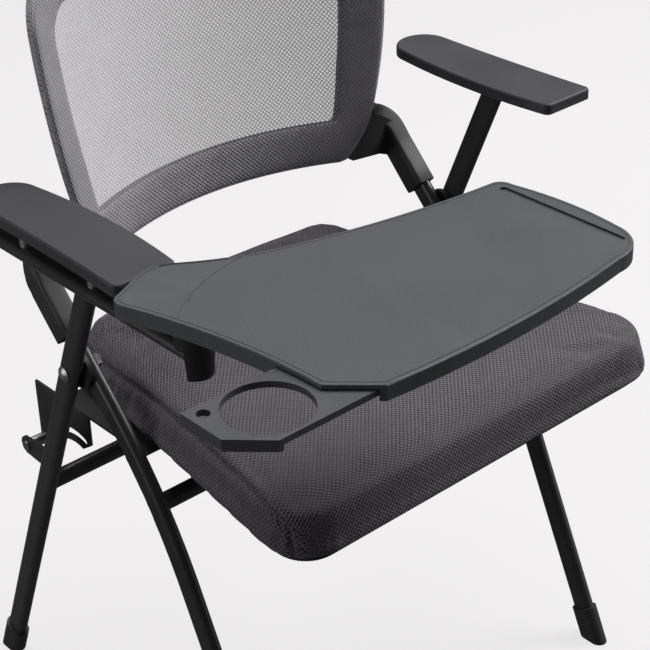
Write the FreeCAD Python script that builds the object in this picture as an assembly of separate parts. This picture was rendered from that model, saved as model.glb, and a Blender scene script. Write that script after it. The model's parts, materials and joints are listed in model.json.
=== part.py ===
import FreeCAD, Part
import math
import os

# Folding training chair with a swivelling writing tablet and a slide-out cup tray.
# Frame: +Z up, floor at z = 0, X across the chair (+X is the sitter's left), the
# sitter faces -Y.  All sizes in millimetres.

V = FreeCAD.Vector
os.makedirs("parts", exist_ok=True)

# ---------------------------------------------------------------- driving sizes
# flat-oval steel tube used for both leg frames and the tablet arm
TUBE_W = 26.0          # long side of the oval, in the plane of the side frame
TUBE_T = 14.0          # short side of the oval, across the chair
TUBE_WALL = 1.5
INNER_X = 248.0        # centre plane of the inner frame (front legs)
FRAME_GAP = 7.0        # gap between the inner and the outer tube
OUTER_X = INNER_X + TUBE_T + FRAME_GAP

# inner frame: front foot, up and back to the backrest socket
FRONT_FOOT_Y = -242.0
FRONT_LOW_ANGLE = 65.5     # lower leg above the horizontal
FRONT_HIGH_ANGLE = 46.0    # upper part above the horizontal
FRONT_BEND_Z = 368.0       # height where the two straight lines meet
FRONT_BEND_R = 600.0
FRONT_TOP_RUN = 245.0      # straight length from the bend's corner to the top end

# outer frame: rear foot, up and forward to the arm
REAR_FOOT_Y = 233.0
REAR_ANGLE = 67.2

FOOT_H = 42.0              # plastic foot, measured along the tube
FOOT_WALL = 3.0
FOOT_SOLE = 8.0            # plastic below the end of the steel

BAR_D = 19.0               # round cross bars
BAR_WALL = 1.5
FRONT_BAR_Z = 357.0
REAR_BAR_Z = 304.0         # just under the lugs of the seat pins

# pivots
BOLT_D = 8.0
RUN_GAP = 0.05             # radial running clearance of every pivot
SIDE_GAP = 0.4             # axial clearance beside moving pieces
SPACER_D = 44.0
BUSH_D = 13.0
HEAD_D = 17.0
HEAD_H = 4.5
NUT_D = 15.0
NUT_H = 6.5
FOLD_ANGLE = 47.0          # rear frame travel
SEAT_ANGLE = 60.0          # seat travel over the same fold

# seat
SEAT_TOP_Z = 457.0
SEAT_BOTTOM_Z = 405.0
SEAT_FRONT_Y = -306.0
SEAT_REAR_Y = 154.0
SEAT_FRONT_HALF = 266.0
SEAT_REAR_HALF = 204.0
SEAT_CORNER_R = 50.0
SEAT_EDGE_R = 18.0
PAN_T = 9.0
PAN_INSET = 14.0
PAN_GAP = 0.4
BRACKET_T = 3.0
BRACKET_PLANE_X = INNER_X - TUBE_T / 2 - 5.0    # outer face of the seat bracket
SEAT_PIVOT_Y = -20.0       # seat hinge, on a lug behind the inner leg
SEAT_PIVOT_Z = 385.0
SEAT_PIN_Y = 150.0         # slide pin, on a lug behind the outer leg
SEAT_PIN_Z = 328.0
SLOT_GAP = 0.5
LUG_T = 3.0

# arms
PAD_TOP_Z = 660.0
PAD_T = 12.0
PAD_FRONT_Y = -135.0
PAD_REAR_Y = 118.0
PAD_INNER_X = 247.0
PAD_OUTER_X = 317.0
PAD_BULGE = 6.0
PLATE_T = 3.0
PLATE_W = 54.0
PLATE_CLEAR = 0.3

# tablet arm and hub
TAB_TOP_Z = 670.0
ARM_OFFSET = 27.0          # tablet tube outside the outer leg's centre plane
ARM_X = -(OUTER_X + ARM_OFFSET)
ARM_Z = TAB_TOP_Z - 48.0
ARM_REAR_Y = 86.0
HUB_Y = -219.0
HUB_TOP_D = 38.0
HUB_BOTTOM_D = 33.0
HUB_BOTTOM_Z = TAB_TOP_Z - 69.0
HUB_WALL = 3.5
SWIVEL_ANGLE = 60.0
PIN_D = 10.0

# tablet
TAB_T = 15.0
TAB_SKIN = 4.0
TAB_RIM = 3.5
TAB_RIB = 2.4
GROOVE_DEPTH = 2.2
CUP_HOLE_D = 76.6
FINGER_HOLE_D = 12.0
TRAY_TOP_GAP = 0.8
TRAY_T = 6.0
TRAY_SKIRT = 11.0
TRAY_LEFT_X = -404.0
TRAY_RIGHT_X = -212.0
TRAY_REAR_Y = -342.5
TRAY_FRONT_Y = -423.5
TRAY_TRAVEL = 102.0
TRAY_CHAMFER = 31.0
CUP_X = -350.0

# backrest
BACK_BOTTOM_Z = 545.0
BACK_TOP_Z = 852.0
BACK_FOOT_X = 168.0        # half widths of the back: foot, hip, widest
BACK_HIP_X = 201.0
BACK_HIP_Z = 604.0
BACK_WIDE_X = 225.0
BACK_WIDE_Z = 772.0
BACK_TOP_R = 55.0
MESH_FOOT_X = 165.0        # half widths of the open mesh: foot, hip, widest
MESH_FOOT_Z = 592.0
MESH_HIP_X = 175.0
MESH_HIP_Z = 650.0
MESH_WIDE_X = 187.0
MESH_WIDE_Z = 764.0
MESH_TOP_Z = BACK_TOP_Z - 41.0
MESH_TOP_R = 32.0
BACK_Y = 143.0             # front face of the middle of the lower edge
BACK_RECLINE = 8.8
BACK_R = 340.0             # sweep of the back around the sitter
BACK_FRAME_T = 9.0
BACK_FRAME_EDGE = 2.0      # the frame stays this far outside the open mesh
FABRIC_T = 1.6
FABRIC_GAP = 0.35
SOCKET_LEN = 58.5
SOCKET_W = 27.0
SOCKET_X = 24.5
SOCKET_DROP = 2.0          # the socket's middle lies this far below the tube's
WEB_Y = 99.0               # plate in the corner between the socket and the back
WEB_T = 12.0
WEB_OUTLINE = [(172, 551), (180, 541), (222, 536.5), (240, 529), (246, 545), (246, 570),
               (226, 584), (204, 594), (188, 576)]


# ---------------------------------------------------------------- small helpers
def deg(angle):
    return math.radians(angle)


def cyl_x(radius, x0, x1, y, z):
    lo = min(x0, x1)
    return Part.makeCylinder(radius, abs(x1 - x0), V(lo, y, z), V(1, 0, 0))


def cyl_z(radius, z0, z1, x, y):
    return Part.makeCylinder(radius, abs(z1 - z0), V(x, y, min(z0, z1)), V(0, 0, 1))


def box(x0, x1, y0, y1, z0, z1):
    lo = V(min(x0, x1), min(y0, y1), min(z0, z1))
    return Part.makeBox(abs(x1 - x0), abs(y1 - y0), abs(z1 - z0), lo)


def mirror_x(shape):
    return shape.mirror(V(0, 0, 0), V(1, 0, 0))


def fuse(shapes):
    out = shapes[0]
    for s in shapes[1:]:
        out = out.fuse(s)
    return out.removeSplitter()


def oval_wire(centre, long_dir, short_dir, long_size, short_size):
    """Flat oval: two straight sides and two half-round ends."""
    r = short_size / 2
    half = long_size / 2 - r
    a, b = V(long_dir).normalize(), V(short_dir).normalize()
    p = [centre + a * half + b * r, centre - a * half + b * r,
         centre - a * half - b * r, centre + a * half - b * r]
    ends = [centre - a * (half + r), centre + a * (half + r)]
    return Part.Wire([Part.LineSegment(p[0], p[1]).toShape(),
                      Part.Arc(p[1], ends[0], p[2]).toShape(),
                      Part.LineSegment(p[2], p[3]).toShape(),
                      Part.Arc(p[3], ends[1], p[0]).toShape()])


def rounded_face(points, z, radius):
    """Flat face at height z whose convex corners are rounded with the radius."""
    pts = [V(x, y, z) for x, y in points]
    face = Part.Face(Part.makePolygon(pts + [pts[0]]))
    inner = face.makeOffset2D(-radius)
    return Part.Face(inner.makeOffset2D(radius).OuterWire)


PIECES = []


def export(shape, node):
    """Note a finished piece; all pieces are moved to the common origin at the end."""
    PIECES.append((shape, node))


# ---------------------------------------------------------------- frame geometry
def front_line(z):
    """y of the inner frame's centre line at height z, straight parts only."""
    low_y = FRONT_FOOT_Y + z / math.tan(deg(FRONT_LOW_ANGLE))
    corner = FRONT_FOOT_Y + FRONT_BEND_Z / math.tan(deg(FRONT_LOW_ANGLE))
    high_y = corner + (z - FRONT_BEND_Z) / math.tan(deg(FRONT_HIGH_ANGLE))
    return low_y if z < FRONT_BEND_Z else high_y


CORNER = V(0, front_line(FRONT_BEND_Z), FRONT_BEND_Z)
LOW_DIR = V(0, math.cos(deg(FRONT_LOW_ANGLE)), math.sin(deg(FRONT_LOW_ANGLE)))
HIGH_DIR = V(0, math.cos(deg(FRONT_HIGH_ANGLE)), math.sin(deg(FRONT_HIGH_ANGLE)))
BEND = deg(FRONT_LOW_ANGLE - FRONT_HIGH_ANGLE)
TANGENT = FRONT_BEND_R * math.tan(BEND / 2)
BEND_START = CORNER - LOW_DIR * TANGENT
BEND_END = CORNER + HIGH_DIR * TANGENT
BEND_CENTRE = BEND_START + V(0, LOW_DIR.z, -LOW_DIR.y) * FRONT_BEND_R


def on_front(z):
    """Point and direction on the inner frame's centre line at height z."""
    if z <= BEND_START.z:
        return V(0, front_line(z), z), LOW_DIR
    if z >= BEND_END.z:
        return V(0, front_line(z), z), HIGH_DIR
    dz = z - BEND_CENTRE.z
    dy = -math.sqrt(FRONT_BEND_R ** 2 - dz ** 2)
    rad = V(0, dy, dz)
    tangent = V(0, dz, -dy).normalize()
    return BEND_CENTRE + rad, tangent


REAR_DIR = V(0, -math.cos(deg(REAR_ANGLE)), math.sin(deg(REAR_ANGLE)))


def on_rear(z):
    return V(0, REAR_FOOT_Y - z / math.tan(deg(REAR_ANGLE)), z)


def crossing():
    lo, hi = BEND_END.z, 560.0
    for _ in range(60):
        mid = (lo + hi) / 2
        if on_front(mid)[0].y < on_rear(mid).y:
            lo = mid
        else:
            hi = mid
    return on_rear(lo)


PIVOT = crossing()                       # legs cross here
SEAT_PIVOT = V(0, SEAT_PIVOT_Y, SEAT_PIVOT_Z)  # seat hinge on the inner frame
SEAT_PIN = V(0, SEAT_PIN_Y, SEAT_PIN_Z)  # pin of the outer frame in the seat's slot
PLATE_Z = PAD_TOP_Z - PAD_T              # underside of the arm plate
FRONT_TOP = CORNER + HIGH_DIR * FRONT_TOP_RUN


def tube(path_points, x, start_dir, w=TUBE_W, t=TUBE_T, wall=TUBE_WALL, arc_mid=None):
    """Hollow flat-oval tube in a side plane; four points mean line, arc, line."""
    pts = [V(x, p.y, p.z) for p in path_points]
    if len(pts) == 4:
        mid = V(x, arc_mid.y, arc_mid.z)
        path = Part.Wire([Part.LineSegment(pts[0], pts[1]).toShape(),
                          Part.Arc(pts[1], mid, pts[2]).toShape(),
                          Part.LineSegment(pts[2], pts[3]).toShape()])
    else:
        path = Part.Wire([Part.LineSegment(pts[0], pts[1]).toShape()])
    across = V(0, -start_dir.z, start_dir.y)
    solids = []
    for grow in (0.0, wall):
        prof = oval_wire(pts[0], across, V(1, 0, 0), w - 2 * grow, t - 2 * grow)
        solids.append(path.makePipeShell([prof], True, False))
    return solids[0], solids[1]


def bent_mid():
    half = LOW_DIR.add(HIGH_DIR).normalize()
    normal = V(0, -half.z, half.y)
    return BEND_CENTRE + normal * FRONT_BEND_R


def foot(base, direction, x):
    """Plastic foot: oval sleeve along the tube, cut level at the floor."""
    d = V(direction).normalize()
    across = V(0, -d.z, d.y)
    start = V(x, base.y, base.z) - d * 30
    w, t = TUBE_W + 2 * FOOT_WALL, TUBE_T + 2 * FOOT_WALL
    body = Part.Face(oval_wire(start, across, V(1, 0, 0), w, t)).extrude(d * (30 + FOOT_H))
    body = body.common(box(x - 60, x + 60, base.y - 120, base.y + 120, 0, 200))
    bore_start = V(x, base.y, base.z) - d * 60
    bore = Part.Face(oval_wire(bore_start, across, V(1, 0, 0), TUBE_W, TUBE_T))
    bore = bore.extrude(d * 300)
    return body.cut(bore.common(box(x - 60, x + 60, -900, 900, FOOT_SOLE, 400)))


def leg_level_end(shape, x):
    """Cut a tube level just above the sole of its foot."""
    return shape.cut(box(x - 60, x + 60, -900, 900, -200, FOOT_SOLE))


# ---------------------------------------------------------------- inner frame
def pivot_drill(x, centre, radius):
    return cyl_x(radius, x - 40, x + 40, centre.y, centre.z)


def hinge_lug(side):
    """Plate on the leg's inner face that carries the seat hinge behind the leg."""
    x1 = side * (INNER_X - TUBE_T / 2)
    a, b = on_front(SEAT_PIVOT_Z + 14)[0], on_front(SEAT_PIVOT_Z - 14)[0]
    pts = [V(x1, p[0], p[1]) for p in ((a.y, a.z), (SEAT_PIVOT.y, SEAT_PIVOT.z + 11),
                                       (SEAT_PIVOT.y, SEAT_PIVOT.z - 11), (b.y, b.z))]
    plate = Part.Face(Part.makePolygon(pts + [pts[0]])).extrude(V(-side * LUG_T, 0, 0))
    end = cyl_x(11.0, x1, x1 - side * LUG_T, SEAT_PIVOT.y, SEAT_PIVOT.z)
    return plate.fuse(end)


def inner_leg(side):
    x = side * INNER_X
    foot_pt = V(0, front_line(0), 0) - LOW_DIR * 20
    outer, bore = tube([foot_pt, BEND_START, BEND_END, FRONT_TOP], x, LOW_DIR,
                       arc_mid=bent_mid())
    leg = leg_level_end(outer.cut(bore), x)
    leg = leg.fuse(hinge_lug(side)).removeSplitter()
    for centre in (PIVOT, SEAT_PIVOT):
        leg = leg.cut(pivot_drill(x, centre, BOLT_D / 2))
    return leg, outer


LEG_LEFT, LEG_LEFT_BODY = inner_leg(1)
LEG_RIGHT, LEG_RIGHT_BODY = inner_leg(-1)
export(LEG_LEFT, "front_leg_left")
export(LEG_RIGHT, "front_leg_right")

front_foot = V(0, front_line(0), 0)
export(Part.makeCompound([foot(front_foot, LOW_DIR, s * INNER_X) for s in (1, -1)]),
       "front_feet")

# cross bar: stands between the legs, its ends shaped to their inner faces
front_bar_c = on_front(FRONT_BAR_Z)[0]
front_bar = cyl_x(BAR_D / 2, -INNER_X, INNER_X, front_bar_c.y, front_bar_c.z)
front_bar = front_bar.cut(cyl_x(BAR_D / 2 - BAR_WALL, -INNER_X, INNER_X,
                                front_bar_c.y, front_bar_c.z))
front_bar = front_bar.cut(LEG_LEFT_BODY).cut(LEG_RIGHT_BODY)
front_bar = sorted(front_bar.Solids, key=lambda b: -b.Volume)[0]
export(front_bar, "front_cross_bar")

# ---------------------------------------------------------------- pivots of the legs
spacer_in = INNER_X + TUBE_T / 2
spacer_out = OUTER_X - TUBE_T / 2 - SIDE_GAP
bolt_out = OUTER_X + TUBE_T / 2 + SIDE_GAP
bolt_in = INNER_X - TUBE_T / 2


def main_pivot(side):
    y, z = PIVOT.y, PIVOT.z
    shaft = cyl_x(BOLT_D / 2, side * (bolt_in - NUT_H), side * bolt_out, y, z)
    head = cyl_x(HEAD_D / 2, side * bolt_out, side * (bolt_out + HEAD_H), y, z)
    head = head.common(Part.makeSphere(HEAD_D * 0.75,
                                       V(side * (bolt_out + HEAD_H - HEAD_D * 0.75), y, z)))
    return shaft.fuse(head)


def hex_nut(side, x_face, centre):
    """Hexagon nut lying against the face x_face, on the inner side of it."""
    a = NUT_D / 2
    pts = [V(side * x_face, centre.y + a * math.cos(deg(60 * k)),
             centre.z + a * math.sin(deg(60 * k))) for k in range(7)]
    prism = Part.Face(Part.makePolygon(pts)).extrude(V(-side * NUT_H, 0, 0))
    return prism.cut(pivot_drill(side * x_face, centre, BOLT_D / 2))


export(Part.makeCompound([main_pivot(s) for s in (1, -1)]), "leg_pivot_bolts")
export(Part.makeCompound([hex_nut(s, bolt_in, PIVOT) for s in (1, -1)]), "leg_pivot_nuts")


def spacer(side):
    ring = cyl_x(SPACER_D / 2, side * spacer_in, side * spacer_out, PIVOT.y, PIVOT.z)
    ring = ring.makeChamfer(0.8, [e for e in ring.Edges if len(e.Vertexes) == 1])
    return ring.cut(pivot_drill(side * OUTER_X, PIVOT, BOLT_D / 2))


export(Part.makeCompound([spacer(s) for s in (1, -1)]), "leg_pivot_spacers")

# ---------------------------------------------------------------- outer frame
REAR_TOP = on_rear(PLATE_Z)


def pin_lug(side):
    """Plate on the leg's inner face that carries the seat's slide pin behind the leg."""
    x1 = side * (OUTER_X - TUBE_T / 2)
    a, b = on_rear(SEAT_PIN_Z + 14), on_rear(SEAT_PIN_Z - 14)
    pts = [V(x1, p[0], p[1]) for p in ((a.y - 3, a.z), (SEAT_PIN.y - 2, SEAT_PIN.z + 11),
                                       (SEAT_PIN.y - 2, SEAT_PIN.z - 11), (b.y - 3, b.z))]
    plate = Part.Face(Part.makePolygon(pts + [pts[0]])).extrude(V(-side * LUG_T, 0, 0))
    end = cyl_x(11.0, x1, x1 - side * LUG_T, SEAT_PIN.y, SEAT_PIN.z)
    return plate.fuse(end)


def outer_leg(side):
    x = side * OUTER_X
    low = on_rear(0) - REAR_DIR * 20
    high = on_rear(PLATE_Z) + REAR_DIR * 20
    outer, bore = tube([low, high], x, REAR_DIR)
    leg = leg_level_end(outer.cut(bore), x)
    leg = leg.cut(box(x - 60, x + 60, -900, 900, PLATE_Z, PLATE_Z + 200))
    leg = leg.cut(pivot_drill(x, PIVOT, BUSH_D / 2))
    leg = leg.fuse(pin_lug(side)).removeSplitter()
    return leg.cut(cyl_x(BOLT_D / 2, side * (OUTER_X - 20), side * OUTER_X,
                         SEAT_PIN.y, SEAT_PIN.z)), outer


for side, name in ((1, "left"), (-1, "right")):
    leg_shape, leg_body = outer_leg(side)
    export(leg_shape, "rear_leg_" + name)

rear_foot = on_rear(0)
export(Part.makeCompound([foot(rear_foot, REAR_DIR, s * OUTER_X) for s in (1, -1)]),
       "rear_feet")

rear_bar_c = on_rear(REAR_BAR_Z)
rear_bar_in = OUTER_X - TUBE_T / 2
rear_bar = cyl_x(BAR_D / 2, -rear_bar_in, rear_bar_in, rear_bar_c.y, rear_bar_c.z)
rear_bar = rear_bar.cut(cyl_x(BAR_D / 2 - BAR_WALL, -rear_bar_in, rear_bar_in,
                              rear_bar_c.y, rear_bar_c.z))
export(rear_bar, "rear_cross_bar")


def pivot_bush(side):
    y, z = PIVOT.y, PIVOT.z
    x0, x1 = OUTER_X - TUBE_T / 2, OUTER_X + TUBE_T / 2
    return cyl_x(BUSH_D / 2, side * x0, side * x1, y, z).cut(
        cyl_x(BOLT_D / 2 + RUN_GAP, side * x0, side * x1, y, z))


export(Part.makeCompound([pivot_bush(s) for s in (1, -1)]), "leg_pivot_bushes")


# ---------------------------------------------------------------- seat
def seat_outline(inset):
    k = (SEAT_FRONT_HALF - SEAT_REAR_HALF) / (SEAT_REAR_Y - SEAT_FRONT_Y)
    yf, yr = SEAT_FRONT_Y + inset, SEAT_REAR_Y - inset
    wf = SEAT_FRONT_HALF - inset - k * inset
    wr = SEAT_REAR_HALF - inset + k * inset
    return [(-wf, yf), (wf, yf), (wr, yr), (-wr, yr)]


cushion_face = rounded_face(seat_outline(0), SEAT_BOTTOM_Z, SEAT_CORNER_R)
cushion = cushion_face.extrude(V(0, 0, SEAT_TOP_Z - SEAT_BOTTOM_Z))
top_edges = [e for e in cushion.Edges
             if abs(e.BoundBox.ZMin - SEAT_TOP_Z) < 0.01 and e.BoundBox.ZLength < 0.01]
cushion = cushion.makeFillet(SEAT_EDGE_R, top_edges)
low_edges = [e for e in cushion.Edges
             if abs(e.BoundBox.ZMax - SEAT_BOTTOM_Z) < 0.01 and e.BoundBox.ZLength < 0.01]
cushion = cushion.makeFillet(4.0, low_edges)
export(cushion, "seat_cushion")

PAN_TOP_Z = SEAT_BOTTOM_Z - PAN_GAP
PAN_BOTTOM_Z = PAN_TOP_Z - PAN_T
pan_face = rounded_face(seat_outline(PAN_INSET), PAN_BOTTOM_Z, SEAT_CORNER_R - PAN_INSET)
pan = pan_face.extrude(V(0, 0, PAN_T))
pan_low = [e for e in pan.Edges
           if abs(e.BoundBox.ZMax - PAN_BOTTOM_Z) < 0.01 and e.BoundBox.ZLength < 0.01]
pan = pan.makeChamfer(1.5, pan_low)

FLANGE_IN = 186.0
BRACKET_REAR_Y = 112.0
BRACKET_FRONT_Y = SEAT_PIVOT.y - 17.0
WEB_EDGE = 11.5            # metal left beside the slot, from its centre line
SCREW_D = 5.0
SCREW_X = 194.0
SCREW_YS = (-14.0, 38.0, 94.0)


def turn(point, centre, angle):
    """Turn a point about an X axis; a positive angle lifts what is in front."""
    a = deg(angle)
    dy, dz = point.y - centre.y, point.z - centre.z
    return V(0, centre.y + dy * math.cos(a) + dz * math.sin(a),
             centre.z - dy * math.sin(a) + dz * math.cos(a))


def slot_path(steps=8):
    """Where the outer frame's pin stands in the seat's own frame as it folds."""
    pts = []
    for k in range(-1, steps + 2):
        share = k / steps
        world = turn(SEAT_PIN, PIVOT, share * FOLD_ANGLE)
        pts.append(turn(world, SEAT_PIVOT, -share * SEAT_ANGLE))
    return pts


def slot_cutter(x0, x1, width, first, last):
    """Curved slot of the given width along the pin's path, with round ends."""
    path = slot_path()
    pts = path[first:last]
    curve = Part.BSplineCurve()
    curve.interpolate([V(x0, p.y, p.z) for p in pts])
    edge = curve.toShape()
    left, right = [], []
    lo, hi = edge.FirstParameter, edge.LastParameter
    n = 14
    for k in range(n + 1):
        t = lo + (hi - lo) * k / n
        p = edge.valueAt(t)
        d = edge.tangentAt(t)
        nrm = V(0, -d.z, d.y)
        left.append(p + nrm * (width / 2))
        right.append(p - nrm * (width / 2))
    a, b = Part.BSplineCurve(), Part.BSplineCurve()
    a.interpolate(left)
    b.interpolate(right)
    d0, d1 = edge.tangentAt(lo), edge.tangentAt(hi)
    end0 = Part.Arc(left[0], edge.valueAt(lo) - d0 * (width / 2), right[0]).toShape()
    end1 = Part.Arc(left[-1], edge.valueAt(hi) + d1 * (width / 2), right[-1]).toShape()
    wire = Part.Wire(Part.__sortEdges__([a.toShape(), end0, b.toShape(), end1]))
    return Part.Face(wire).extrude(V(x1 - x0, 0, 0))


def slot_side(distance):
    """Points beside the pin's path in the seat bracket, above it for a plus sign."""
    path = slot_path()
    out = []
    for k in range(1, len(path) - 1):
        d = (path[k + 1] - path[k - 1]).normalize()
        out.append(path[k] + V(0, -d.z, d.y) * distance)
    return out


def seat_bracket(side):
    """Angle bracket under the pan: hinge ear in front, web with the pin slot behind."""
    xo = side * BRACKET_PLANE_X
    xi = side * (BRACKET_PLANE_X - BRACKET_T)
    ear = 12.0
    y, z = SEAT_PIVOT.y, SEAT_PIVOT.z
    ear_pts = [(y - 17, PAN_BOTTOM_Z), (y - ear, z - 2), (y + ear, z - 2),
               (y + 17, PAN_BOTTOM_Z)]
    low = [(p.y, p.z) for p in slot_side(WEB_EDGE)]
    first, last = slot_path()[1], slot_path()[-2]
    web_pts = [(first.y + WEB_EDGE, PAN_BOTTOM_Z)] + [(first.y + WEB_EDGE, first.z)] + low
    web_pts += [(last.y - WEB_EDGE, last.z), (last.y - WEB_EDGE, PAN_BOTTOM_Z)]
    part = cyl_x(ear, xi, xo, y, z)
    for outline in (ear_pts, web_pts):
        pts = [V(xi, a, b) for a, b in outline]
        part = part.fuse(Part.Face(Part.makePolygon(pts + [pts[0]])).extrude(V(xo - xi, 0, 0)))
    part = part.fuse(cyl_x(WEB_EDGE, xi, xo, first.y, first.z))
    flange = box(side * FLANGE_IN, xo, BRACKET_FRONT_Y, BRACKET_REAR_Y,
                 PAN_BOTTOM_Z - BRACKET_T, PAN_BOTTOM_Z)
    part = part.fuse(flange).removeSplitter()
    part = part.cut(pivot_drill(side * INNER_X, SEAT_PIVOT, BOLT_D / 2 + RUN_GAP))
    x0, x1 = sorted((side * (BRACKET_PLANE_X + 5), side * (BRACKET_PLANE_X - 8)))
    part = part.cut(slot_cutter(x0, x1, BOLT_D + 2 * SLOT_GAP, 1, 10))
    for y in SCREW_YS:
        part = part.cut(cyl_z(SCREW_D / 2, PAN_BOTTOM_Z - 9, PAN_BOTTOM_Z + 2,
                              side * SCREW_X, y))
    return part


def pan_screw(x, y):
    shaft = cyl_z(SCREW_D / 2, PAN_BOTTOM_Z - BRACKET_T, PAN_BOTTOM_Z + 6.5, x, y)
    head = Part.makeCone(3.0, 4.8, 2.6, V(x, y, PAN_BOTTOM_Z - BRACKET_T - 2.6), V(0, 0, 1))
    return shaft.fuse(head)


for side in (1, -1):
    for y in SCREW_YS:
        pan = pan.cut(cyl_z(SCREW_D / 2, PAN_BOTTOM_Z - 1, PAN_BOTTOM_Z + 6.5,
                            side * SCREW_X, y))
export(pan, "seat_pan")
export(seat_bracket(1), "seat_bracket_left")
export(seat_bracket(-1), "seat_bracket_right")
export(Part.makeCompound([pan_screw(s * SCREW_X, y) for s in (1, -1) for y in SCREW_YS]),
       "seat_screws")


def seat_hinge_bolt(side):
    """Rivet fixed in the inner leg's lug; the seat bracket turns on it."""
    y, z = SEAT_PIVOT.y, SEAT_PIVOT.z
    outer = INNER_X - TUBE_T / 2
    inner = BRACKET_PLANE_X - BRACKET_T - SIDE_GAP
    shaft = cyl_x(BOLT_D / 2, side * inner, side * outer, y, z)
    head = cyl_x(6.0, side * outer, side * (outer + 2.4), y, z)
    end = cyl_x(6.5, side * inner, side * (inner - 4.0), y, z)
    washer = cyl_x(8.0, side * (BRACKET_PLANE_X + SIDE_GAP), side * (outer - LUG_T), y, z)
    return fuse([shaft, head, end, washer])


export(Part.makeCompound([seat_hinge_bolt(s) for s in (1, -1)]), "seat_hinge_bolts")


def seat_pin(side):
    """Riveted pin of the outer leg's lug that runs in the seat bracket's slot."""
    y, z = SEAT_PIN.y, SEAT_PIN.z
    outer = OUTER_X - TUBE_T / 2
    inner = BRACKET_PLANE_X - BRACKET_T - SIDE_GAP
    shaft = cyl_x(BOLT_D / 2, side * inner, side * outer, y, z)
    end = cyl_x(7.0, side * inner, side * (inner - 3.0), y, z)
    collar = cyl_x(6.5, side * (BRACKET_PLANE_X + SIDE_GAP), side * (outer - LUG_T), y, z)
    rivet = cyl_x(6.0, side * outer, side * (outer + 2.4), y, z)
    return fuse([shaft, end, collar, rivet])


export(Part.makeCompound([seat_pin(s) for s in (1, -1)]), "seat_slide_pins")


# ---------------------------------------------------------------- arms
def pad_wire(side, inset, z):
    xi, xo = PAD_INNER_X + inset, PAD_OUTER_X - inset
    yf, yr = PAD_FRONT_Y + inset, PAD_REAR_Y - inset
    ym = (yf + yr) / 2
    mid_x = (xi + xo) / 2

    def p(x, y):
        return V(side * x, y, z)
    r = 7.0
    inner = Part.Arc(p(xi, yf + r), p(xi - PAD_BULGE, ym - 30), p(xi + 3, yr - 30)).toShape()
    rear = Part.Arc(p(xi + 3, yr - 30), p(mid_x, yr), p(xo - 3, yr - 30)).toShape()
    outer = Part.Arc(p(xo - 3, yr - 30), p(xo - 3.5, ym), p(xo, yf + r)).toShape()
    c = r * (1 - math.sqrt(0.5))
    corner_o = Part.Arc(p(xo, yf + r), p(xo - c, yf + c), p(xo - r, yf)).toShape()
    front = Part.LineSegment(p(xo - r, yf), p(xi + r, yf)).toShape()
    corner_i = Part.Arc(p(xi + r, yf), p(xi + c, yf + c), p(xi, yf + r)).toShape()
    return Part.Wire([inner, rear, outer, corner_o, front, corner_i])


PLATE_INNER = OUTER_X - 16.0
PLATE_Y0, PLATE_Y1 = PAD_FRONT_Y + 22, PAD_REAR_Y - 40
PAD_SCREW_YS = (PLATE_Y0 + 14, PLATE_Y1 - 14)
PAD_SCREW_X = PLATE_INNER + 33.0


def plate_outline(side, grow, z0, z1):
    x0, x1 = side * (PLATE_INNER - grow), side * (PLATE_INNER + PLATE_W + grow)
    b = box(x0, x1, PLATE_Y0 - grow, PLATE_Y1 + grow, z0, z1)
    edges = [e for e in b.Edges if e.BoundBox.ZLength > 0.9 * (z1 - z0)]
    return b.makeFillet(8.0 + grow, edges)


def arm_pad(side):
    pad = Part.Face(pad_wire(side, 0, PLATE_Z)).extrude(V(0, 0, PAD_T))
    rim = [e for e in pad.Edges
           if abs(e.BoundBox.ZMin - PAD_TOP_Z) < 0.01 and e.BoundBox.ZLength < 0.01]
    pad = pad.makeFillet(3.0, rim)
    pad = pad.cut(plate_outline(side, PLATE_CLEAR, PLATE_Z - 1, PLATE_Z + PLATE_T))
    for y in PAD_SCREW_YS:
        pad = pad.cut(cyl_z(2.0, PLATE_Z, PLATE_Z + PLATE_T + 6, side * PAD_SCREW_X, y))
    return pad


ARM_BOLT_YS = (-72.0, 40.0)
PAD_BOLT_D = 6.0


def arm_plate(side):
    plate = plate_outline(side, 0, PLATE_Z, PLATE_Z + PLATE_T)
    for y in PAD_SCREW_YS:
        plate = plate.cut(cyl_z(2.0, PLATE_Z - 1, PLATE_Z + PLATE_T + 1, side * PAD_SCREW_X, y))
    if side < 0:
        for y in ARM_BOLT_YS:
            plate = plate.cut(cyl_z(PAD_BOLT_D / 2, PLATE_Z - 1, PLATE_Z + PLATE_T + 1,
                                    ARM_X, y))
    return plate


def pad_screw(side, y):
    x = side * PAD_SCREW_X
    shaft = cyl_z(2.0, PLATE_Z, PLATE_Z + PLATE_T + 5.5, x, y)
    head = cyl_z(4.0, PLATE_Z - 2.4, PLATE_Z, x, y)
    return shaft.fuse(head)


for side, name in ((1, "left"), (-1, "right")):
    export(arm_pad(side), "arm_pad_" + name)
    export(arm_plate(side), "arm_plate_" + name)
export(Part.makeCompound([pad_screw(s, y) for s in (1, -1) for y in PAD_SCREW_YS]),
       "arm_pad_screws")

# tablet arm: flat-oval tube lying on its wide side under the right arm plate
ARM_FRONT_Y = HUB_Y - TUBE_W / 2


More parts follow.
